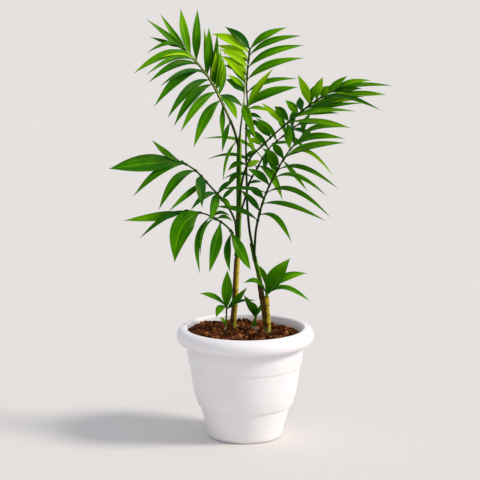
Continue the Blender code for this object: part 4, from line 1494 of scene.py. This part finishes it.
# The colour that the young stem's bark is painted on its lit side.
YOUNG_BARK = (0.15, 0.12, 0.006)
STALKS = (
    StemFinish("dark_stalk"),
    StemFinish("striped_stalk", (0.003, 0.016, 0.001), (0.030, 0.090, 0.002), (0.64, 0.80, 0.16), 0.84),
    StemFinish("green_stalk", (0.004, 0.026, 0.003), (0.018, 0.080, 0.010)),
    StemFinish("shoot_stem", (0.028, 0.110, 0.002), (0.120, 0.290, 0.006), pale_foot=156.0),
)
GREENS = (
    LeafFinish("deep_green"),
    LeafFinish("light_green", 0.02),
    LeafFinish("shoot_green", 0.04, veins=5.0, rib=0.09),
)
FRONDS = (
    Frond(
        "frond_low_left",
        ((-11.3, 17.5, 271), (-14, 10, 286), (-19, 5, 301), (-28, -6, 314), (-41, -16, 325),
         (-57, -22, 334), (-76, -26, 339), (-88, -27, 340)),
        (1.8, 0.9), (0.2, -0.95, 0.25), Sheath(CANE_LEFT, 264.0, 281.0),
        leaflets(
            (0.27, -22, 244, 28, 12, 0.16, DEEP), (0.31, 8, 247, 32, 17, 0.18, MID),
            (0.52, -52, 243, 0, 19, 0.03, MID), (0.59, -18, 319, 8, 6, 0.2, DEEP),
            (0.61, -65, 267, 6, 6, 0.24, DEEP), (0.65, -22, 327, 0, 6, 0.2, DEEP),
            (0.67, -65, 241, -6, 9, 0.22, MID), (0.81, -102, 258, 0, 32, 0.24, MID, 0.36),
            (0.96, -153, 293, 12, 8, 0.1, DEEP), (0.97, -176, 320, 0, 14, -0.04, MID, 0.45),
        ),
        "green_stalk", -0.05, swelling=1.25,
    ),
    Frond(
        "frond_mid_left",
        ((-10.5, 15, 287), (-13, 8, 302), (-15, 3, 319), (-23, -5, 338), (-38, -13, 359),
         (-54, -17, 378), (-71, -20, 397), (-92, -22, 411)),
        (1.8, 1.2), (0.25, -0.88, 0.38), Sheath(CANE_LEFT, 281.6, 297.0),
        leaflets(
            (0.47, -13, 369, 14, 7, 0.1, DEEP), (0.50, -20, 339, 14, 8, 0.08, MID),
            (0.54, -15, 380, 12, 8, 0.1, DEEP), (0.55, -51, 319, 13, 15, 0.02, MID, 0.3),
            (0.55, -79, 335, 7, 9, 0.14, BLUE), (0.70, -111, 333, 4, 9, 0.04, MID),
            (0.77, -62, 339, 22, 17, 0.1, DEEP, 0.3), (0.84, -125, 335, 4, 14, 0.16, DEEP),
            (0.95, -162, 355, 0, 12, 0.12, DEEP), (0.99, -196, 396, 10, 29, 0, DEEP, 0.5),
            (0.99, -134, 438, 10, 10, -0.08, MID, 0.5),
        ),
        "green_stalk", -0.05, swelling=1.25,
    ),
    Frond(
        "frond_back_right",
        ((-9.7, 12.5, 312), (-6, 17, 330), (-1, 21, 346), (6, 26, 371), (16, 36, 388),
         (33, 46, 416), (52, 54, 432), (70, 60, 446), (76, 61, 450)),
        (1.7, 0.8), (-0.3, -0.8, 0.5), Sheath(CANE_LEFT, 297.6, 322.0),
        leaflets(
            (0.35, 24, 377, 4, 6, 0.05, DEEP), (0.41, -32, 381, 4, 7, 0.12, DEEP),
            (0.50, -55, 410, 7, 6, 0.15, DEEP), (0.52, 54, 350, 6, 12, 0.12, MID),
            (0.59, -61, 440, 8, 6, 0.13, MID), (0.66, 27, 391, 5, 10, 0.03, DEEP, 0.35),
            (0.68, -3, 456, 5, 10, 0.08, DEEP), (0.68, 45, 383, 4, 15, 0.04, MID, 0.35),
            (0.74, 66, 434, 6, 6, 0.03, DEEP), (0.78, 15, 470, 4, 10, 0.08, MID),
            (0.84, 87, 424, 4, 8, 0.1, DEEP), (0.87, 44, 485, 4, 10, 0.08, MID),
            (0.92, 102, 441, 4, 8, 0.1, BLUE), (0.95, 74, 487, 3, 10, 0.08, BLUE),
            (0.97, 110, 461, 4, 8, 0.1, BLUE),
        ),
    ),
    Frond(
        "frond_upper_right",
        ((-9, 8, 350), (-6, 0, 370), (-2, -6, 389), (3, -10, 403), (10, -18, 419), (23, -26, 433),
         (43, -34, 454), (62, -39, 471), (94, -43, 498), (126, -45, 518), (132, -45, 521)),
        (1.8, 0.8), (-0.1, -0.85, 0.5), Sheath(CANE_LEFT, 322.6, 361.0),
        leaflets(
            (0.18, -25, 374, 6, 8, 0.14, DEEP, 0.5), (0.22, 22, 408, 6, 9, 0.05, BRIGHT, 0.5),
            (0.24, -25, 393, 7, 8, 0.2, DEEP, 0.5), (0.34, 7, 443, 6, 9, 0.08, BRIGHT, 0.5),
            (0.41, 5, 440, 9, 8, 0.12, MID, 0.5), (0.49, 13, 461, 4, 11, 0.08, DEEP),
            (0.60, 23, 492, 9, 9, 0.04, BRIGHT, 0.5), (0.63, 64, 424, 10, 13, 0.03, MID, 0.5),
            (0.63, 150, 456, 9, 9, 0.04, MID, 0.6), (0.64, 42, 487, 10, 14, 0.05, DEEP, 0.6),
            (0.67, 159, 480, 14, 8, 0.05, MID, 0.4), (0.70, 136, 477, 3, 7, 0.02, DEEP, 0.45),
            (0.71, 57, 496, 8, 12, 0.06, MID), (0.72, 171, 492, 6, 8, 0.02, MID),
            (0.74, 78, 501, 2, 12, 0.03, BLUE, 0.5), (0.76, 163, 497, 12, 8, 0.02, DEEP),
            (0.80, 75, 533, 12, 13, 0.05, BRIGHT), (0.80, 100, 518, 3, 13, 0.03, MID, 0.5),
            (0.81, 173, 501, 2, 7, 0.03, MID), (0.85, 111, 529, 10, 14, 0.04, BRIGHT, 0.5),
            (0.85, 195, 481, 22, 8, 0.09, DEEP), (0.88, 121, 517, 3, 13, 0.03, MID, 0.5),
            (0.90, 202, 504, 4, 9, 0.01, MID, 0.6), (0.91, 146, 531, 9, 12, 0, MID, 0.5),
            (0.96, 180, 525, 4, 9, 0.07, MID, 0.5), (0.98, 210, 517, 12, 8, 0.03, MID, 0.45),
            (0.94, 167, 513, 7, 9, 0.01, DEEP, 0.5), (0.88, 153, 503, 16, 8, 0.02, BRIGHT, 0.6),
            (0.81, 166, 498, 16, 7, 0.01, BRIGHT, 0.7),
        ),
        freshness_and_light=0.04,
    ),
    Frond(
        "frond_top_left",
        ((-8.8, 3, 420), (-11, -2, 434), (-17, -10, 457), (-30, -16, 488), (-46, -20, 522),
         (-66, -20, 550), (-87, -16, 573), (-94, -14, 579)),
        (2.0, 1.2), (0.45, -0.85, 0.25), Sheath(CANE_LEFT, 361.6, 430.0),
        leaflets(
            (0.10, -32, 378, 5, 6, 0.14, MID, 0.4), (0.27, -33, 420, 0, 9, 0.1, DEEP),
            (0.42, -33, 440, 5, 9, 0.05, MID), (0.46, -74, 427, 0, 16, 0.12, MID),
            (0.49, -12, 468, 13, 13, 0.1, BRIGHT, 0.5), (0.50, -31, 558, 18, 9, 0, BRIGHT, 0.5),
            (0.53, -93, 449, 6, 13, 0.12, MID), (0.58, -35, 567, 20, 11, 0.02, MID, 0.5),
            (0.60, -103, 457, 0, 13, 0.12, DEEP), (0.61, -33, 558, 12, 16, 0.03, DEEP, 0.5),
            (0.62, -42, 567, 18, 9, 0.02, YELLOW, 0.4), (0.64, -112, 469, 10, 13, 0.12, DEEP),
            (0.64, -40, 593, 18, 11, 0.03, DEEP, 0.3), (0.68, -52, 601, 16, 14, 0, MID, 0.45),
            (0.69, -123, 515, 22, 7, 0.12, BLUE), (0.70, -59, 599, 8, 10, 0.02, BRIGHT, 0.45),
            (0.73, -131, 486, 0, 14, 0.12, DEEP), (0.78, -139, 521, 9, 11, 0.12, DEEP),
            (0.81, -68, 627, 7, 14, -0.03, MID, 0.45), (0.82, -142, 532, 19, 8, 0.12, MID),
            (0.85, -160, 534, 0, 14, 0.14, MID), (0.87, -92, 628, 6, 14, -0.05, BRIGHT, 0.45),
            (0.92, -141, 564, 9, 7, 0.18, DEEP), (0.91, -121, 620, 5, 10, -0.04, MID),
            (0.96, -136, 587, 0, 8, -0.03, DEEP), (0.90, -141, 613, 10, 10, -0.02, MID),
            (0.60, -39, 577, 16, 10, 0.02, MID, 0.35), (0.55, -35, 571, 22, 8, 0.02, BRIGHT, 0.35),
            (0.50, -28, 548, 20, 9, 0.03, BRIGHT, 0.4), (0.55, -32, 550, 12, 11, 0.03, DEEP, 0.4),
            (0.50, -3, 486, 8, 10, 0.08, BLUE, 0.5),
            (0.83, -120, 558, 14, 4.5, 0.1, YELLOW, 0.5), (0.88, -117, 564, 12, 6, 0.08, BRIGHT, 0.4),
        ),
        "striped_stalk", -0.04,
    ),
    Frond(
        "frond_young_top",
        ((-8.2, 2.4, 434), (-7.6, 1.2, 446), (-6.4, -0.5, 458), (-4.8, -2, 471), (-3.4, -3, 482),
         (-1.9, -4, 496), (-0.9, -5, 511), (0.5, -5.5, 525), (1.4, -5.5, 537)),
        (1.5, 0.6), (0.2, -0.9, 0.3), Sheath(CANE_LEFT, 430.6, 443.0),
        leaflets(
            (0.56, 16, 440, 8, 14, -0.03, MID, 0.22), (0.71, -28, 526, 6, 14, 0.1, BLUE, 0.5),
            (0.78, -26, 533, 10, 8, 0.05, BRIGHT), (0.87, -34, 560, 3, 10, 0.06, YELLOW),
            (0.84, -22, 545, -2, 7, 0.05, DEEP, 0.5), (0.88, -27, 550, 2, 7, 0.05, BRIGHT),
        ),
        "striped_stalk", slot="light_green",
    ),
    Frond(
        "frond_right",
        ((15.3, 1.1, 257), (13.4, -3.5, 272), (14, -6, 288), (16, -8, 311), (23, -12, 342),
         (31, -16, 366), (42, -18, 390), (57, -19, 417), (69, -18, 433), (83, -15, 446), (92, -12, 453)),
        (2.0, 0.9), (-0.35, -0.8, 0.5), Sheath(STEM_RIGHT, 236.0, 264.0),
        leaflets(
            (0.30, -44, 341, 41, 8, 0.1, DEEP), (0.34, 67, 288, 6, 9, 0.22, MID, 0.5),
            (0.36, -7, 365, 19, 11, 0.1, DEEP), (0.42, 117, 319, 10, 8, 0.07, MID),
            (0.45, 2, 370, 18, 11, 0.12, DEEP), (0.50, -38, 366, 47, 6, 0.05, DEEP),
            (0.50, 124, 324, 0, 8, 0.16, MID), (0.55, 3, 396, 27, 12, 0.12, DEEP),
            (0.60, 119, 355, 14, 7, 0.14, MID), (0.66, 30, 414, 8, 10, 0.08, DEEP),
            (0.67, 135, 366, 0, 7.5, 0.13, MID), (0.69, 24, 426, 8, 11, 0.12, DEEP),
            (0.74, 90, 363, 12, 7, 0.02, MID), (0.75, 38, 434, 7, 12, 0.05, DEEP, 0.5),
            (0.76, 128, 384, 0, 6, 0.24, BRIGHT), (0.76, 143, 434, 11, 13, 0.05, MID),
            (0.83, 143, 440, 0, 13, 0.12, MID), (0.87, 64, 461, 3, 9, 0.12, DEEP),
            (0.90, 152, 456, 7, 10, 0.14, MID), (0.95, 96, 479, 3, 9, 0.12, DEEP),
        ),
    ),
    Frond(
        "frond_top_centre",
        ((11.6, 0, 274), (9, 1, 290), (6, 2, 307), (3, 4, 341), (2, 6, 379), (1, 8, 435),
         (2, 10, 465), (3, 14, 488), (2, 18, 511), (3, 22, 533), (6, 30, 561), (7, 33, 567)),
        (2.0, 0.8), (0.1, -0.9, 0.4), Sheath(STEM_RIGHT, 264.6, 283.0),
        leaflets(
            (0.46, 15, 422, 6, 8, 0.1, DEEP, 0.5), (0.61, 6, 434, 6, 6, 0.05, MID),
            (0.63, 27, 457, 8, 8, 0.12, DEEP), (0.67, 24, 469, 8, 7, 0.1, DEEP),
            (0.70, 38, 478, 8, 6, 0.1, BRIGHT), (0.70, 40, 542, 15, 11, 0.07, BRIGHT),
            (0.71, 76, 515, 4, 14, 0.09, MID), (0.78, 75, 527, 4, 8, 0.09, MID),
            (0.84, 84, 557, 5, 12, 0.09, MID), (0.86, -31, 547, -4, 9, 0.05, DEEP),
            (0.87, -35, 560, 0, 11, 0.07, YELLOW), (0.90, 84, 575, 5, 12, 0.09, MID),
            (0.90, -37, 570, 6, 11, 0.06, YELLOW), (0.93, -31, 564, -4, 10, 0.05, DEEP),
            (0.94, -41, 575, 0, 13, 0.07, YELLOW), (0.96, 81, 589, 4, 10, 0.09, MID),
            (0.97, -48, 592, 3, 15, 0.07, YELLOW, 0.5), (0.99, -29, 602, 7, 14, 0.05, BLUE),
            (0.99, 60, 601, 3, 11, 0.09, MID),
        ),
    ),
)

SPROUT_LEFT = Sprout(
    "sprout_left",
    (
        Rod(
            ((-29, 12, 112), (-29, 12, 152), (-27.5, 11, 172), (-27, 10, 194)),
            ((112, 1.7), (194, 1.2)), sides=14,
        ),
    ),
    (
        Leaf((-27, 10, 188), (-26, 12, 245), (0, -3, 0), 17, (0, -1, 0.1), MID),
        Leaf((-27, 10, 190), (-66, 2, 212), (0, 0, 5), 9, (0, -0.7, 0.7), MID),
        Leaf((-27, 10, 190), (-42, -6, 178), (-2, -3, 5), 12, (-0.2, -0.7, 0.6), MID),
        Leaf((-27, 10, 187), (3, -1, 222), (0, 0, -2), 10, (0.1, -0.8, 0.4), DEEP),
        Leaf((-27, 10, 187), (15, -4, 203), (0, 0, 4), 7, (0, -0.5, 0.8), DEEP),
        Leaf((-28.2, 11.5, 163), (-37, 4, 175), (0, 0, 2), 6, (0, -0.7, 0.7), BRIGHT),
    ),
)
SPROUT_CENTRE = Sprout(
    "sprout_centre",
    (
        Rod(
            ((14, 18, 122), (14, 18, 148), (14.2, 18, 158), (15, 18, 170), (15.5, 18, 180)),
            ((122, 2.4), (150, 3.1), (162, 2.3), (180, 1.5)), sides=16,
        ),
        Rod(
            ((9.5, 16.5, 130), (9.8, 16.5, 150), (11.5, 17, 162), (14.8, 17.8, 174)),
            ((130, 1.6), (174, 1.2)), sides=14,
        ),
    ),
    (
        Leaf((15, 18, 172), (-2, 10, 208), (0, -2, 2), 10, (0.3, -0.9, 0.2), DEEP),
        Leaf((15, 18, 174), (24, 22, 193), (1, 0, 0), 6, (-0.2, -0.9, 0.2), MID),
        Leaf((15, 18, 173), (6, 16, 198), (3, -3, 3), 8, (0.4, -0.8, 0.3), DEEP),
    ),
)
SPROUT_RIGHT = Sprout(
    "sprout_right",
    (Rod(((31.2, 6.4, 206.4), (31.2, 6, 212), (31.4, 5.5, 220)), ((206, 2.4), (220, 1.4)), sides=14),),
    (
        Leaf((31.3, 6, 210), (65, -10, 267), (-4, -4, 0), 24, (-0.1, -0.9, 0.3), MID),
        Leaf((31.3, 6, 212), (90, 16, 239), (0, 0, 8), 13, (-0.2, -0.8, 0.5), MID),
        Leaf((31.3, 6, 211), (69, 24, 218), (0, 0, 4), 5, (0, -0.7, 0.7), MID),
        Leaf((31.3, 6, 209), (94, -12, 203), (0, 0, 13), 9, (0, -0.6, 0.8), MID),
        Leaf((31.3, 6.5, 214), (17, 24, 251), (4, 4, 3), 9, (-0.3, -0.9, 0.2), MID),
        Leaf((31.3, 5, 210), (-2, -14, 231), (0, -7, 13), 8, (0.1, -0.8, 0.5), DEEP),
    ),
)


@dataclass(frozen=True)
class Husk:
    """The torn dry sheath that is left round a stem."""

    stem: Rod = STEM_RIGHT
    low: float = 203.0
    high: float = 224.0
    clear: float = 0.5
    thickness: float = 0.3
    rings: int = 12
    sides: int = 30

    def build(self) -> None:
        """Wraps the husk round the stem, with a ragged upper edge."""
        bm = new_mesh("rod")
        rod = bm.verts.layers.float_vector["rod"]
        line = self.stem.centre_line()
        path = levels(line, self.low, self.high, self.rings)
        radii = [between(self.stem.radii, p.z) + self.clear for p in path]
        rings = sweep(bm, path, radii, self.sides, Vector((-1, 0, 0)))
        for k, (ring, point) in enumerate(zip(rings, path)):
            share = k / self.rings
            for vert in ring:
                torn = noise.noise(Vector((*vert.co.xy, 0.0)) / 1.7)
                vert.co.z += share ** 2 * (7 * torn + 3 * vert[rod].x - 3)
                vert.co += (vert.co - point).normalized() * (0.5 * abs(torn) + 0.4 * share)
        hollow(bm, rings, line, self.thickness)
        add_to_palm(finished("dry_husk", bm, HuskFinish().material(), 40.0), "cane_bark")


# The room


@dataclass(frozen=True)
class Studio:
    """A pale floor, soft lights and a camera where the plant is seen from."""

    lens: float = 238.5
    sensor: float = 36.0
    pitch: float = 11.64
    yaw: float = 0.0955
    floor_colour: Colour = (0.74, 0.70, 0.66)
    floor_size: float = 30000.0
    sky: Colour = (0.86, 0.90, 1.0)
    sky_strength: float = 0.70
    sun_height: float = 38.0
    sun_turn: float = 12.0
    sun_angle: float = 17.0
    sun_strength: float = 2.5
    sun_colour: Colour = (1.0, 0.955, 0.89)

    def camera(self) -> None:
        """Sets up the camera."""
        data = bpy.data.cameras.new("view")
        data.lens = self.lens
        data.sensor_width = self.sensor
        camera = into_scene("view", data)
        camera.location = VIEWPOINT * MM
        camera.rotation_euler = (math.radians(90 - self.pitch), 0.0, math.radians(self.yaw))
        bpy.context.scene.camera = camera

    def sun(self) -> None:
        """Lights everything evenly from the right, as softly as a large bright screen would."""
        data = bpy.data.lights.new("soft_sun", "SUN")
        data.angle = math.radians(self.sun_angle)
        data.energy = self.sun_strength
        data.color = self.sun_colour
        lamp = into_scene("soft_sun", data)
        lamp.rotation_euler = (0.0, math.radians(90 - self.sun_height), -math.radians(self.sun_turn))

    def floor(self) -> None:
        """Lays the floor."""
        bm = new_mesh()
        bmesh.ops.create_grid(bm, x_segments=2, y_segments=2, size=self.floor_size)
        skin = Skin("pale_floor")
        low = tuple(0.96 * channel for channel in self.floor_colour)
        colour = skin.mix(skin.noise(3.0, 4.0), low, self.floor_colour)
        finished("floor", bm, skin.finish(Base_Color=colour, Roughness=0.8))

    def build(self) -> None:
        """Sets up the floor, the camera and the lights."""
        self.floor()
        self.camera()
        self.sun()
        scene = bpy.context.scene
        scene.world = bpy.data.worlds.new("soft_sky")
        scene.world.use_nodes = True
        background = scene.world.node_tree.nodes["Background"]
        Tree(scene.world.node_tree).fill(background, {"Color": self.sky, "Strength": self.sky_strength})
        scene.view_settings.view_transform = "Standard"


def main() -> None:
    """Builds the palm and the studio."""
    logging.basicConfig(level=logging.INFO, format="%(name)s: %(message)s")
    Studio().build()
    Pot().build()
    Soil().build()
    for name, rod, bark, nodes in (
        ("cane_left", CANE_LEFT, BarkFinish("cane_left_bark", 262.0), ("cane_left",)),
        ("cane_right", CANE_RIGHT, BarkFinish("cane_right_bark", 214.0), ("cane_right",)),
        ("stem_right", STEM_RIGHT, BarkFinish("stem_right_bark", 205.0, lit_yellow=YOUNG_BARK), ()),
    ):
        bm = new_mesh("rod")
        rod.grow(bm)
        add_to_palm(finished(f"{name}_skin", bm, bark.material(), 60.0), "cane_bark", *nodes)
    Husk().build()
    stalks = {finish.name: finish.material() for finish in STALKS}
    greens = {finish.name: finish.material() for finish in GREENS}
    for frond in FRONDS:
        frond.build(greens[frond.slot], stalks[frond.stem])
    for sprout in (SPROUT_LEFT, SPROUT_CENTRE, SPROUT_RIGHT):
        sprout.build(greens["shoot_green"], stalks["shoot_stem"])


if __name__ == "__main__":
    main()
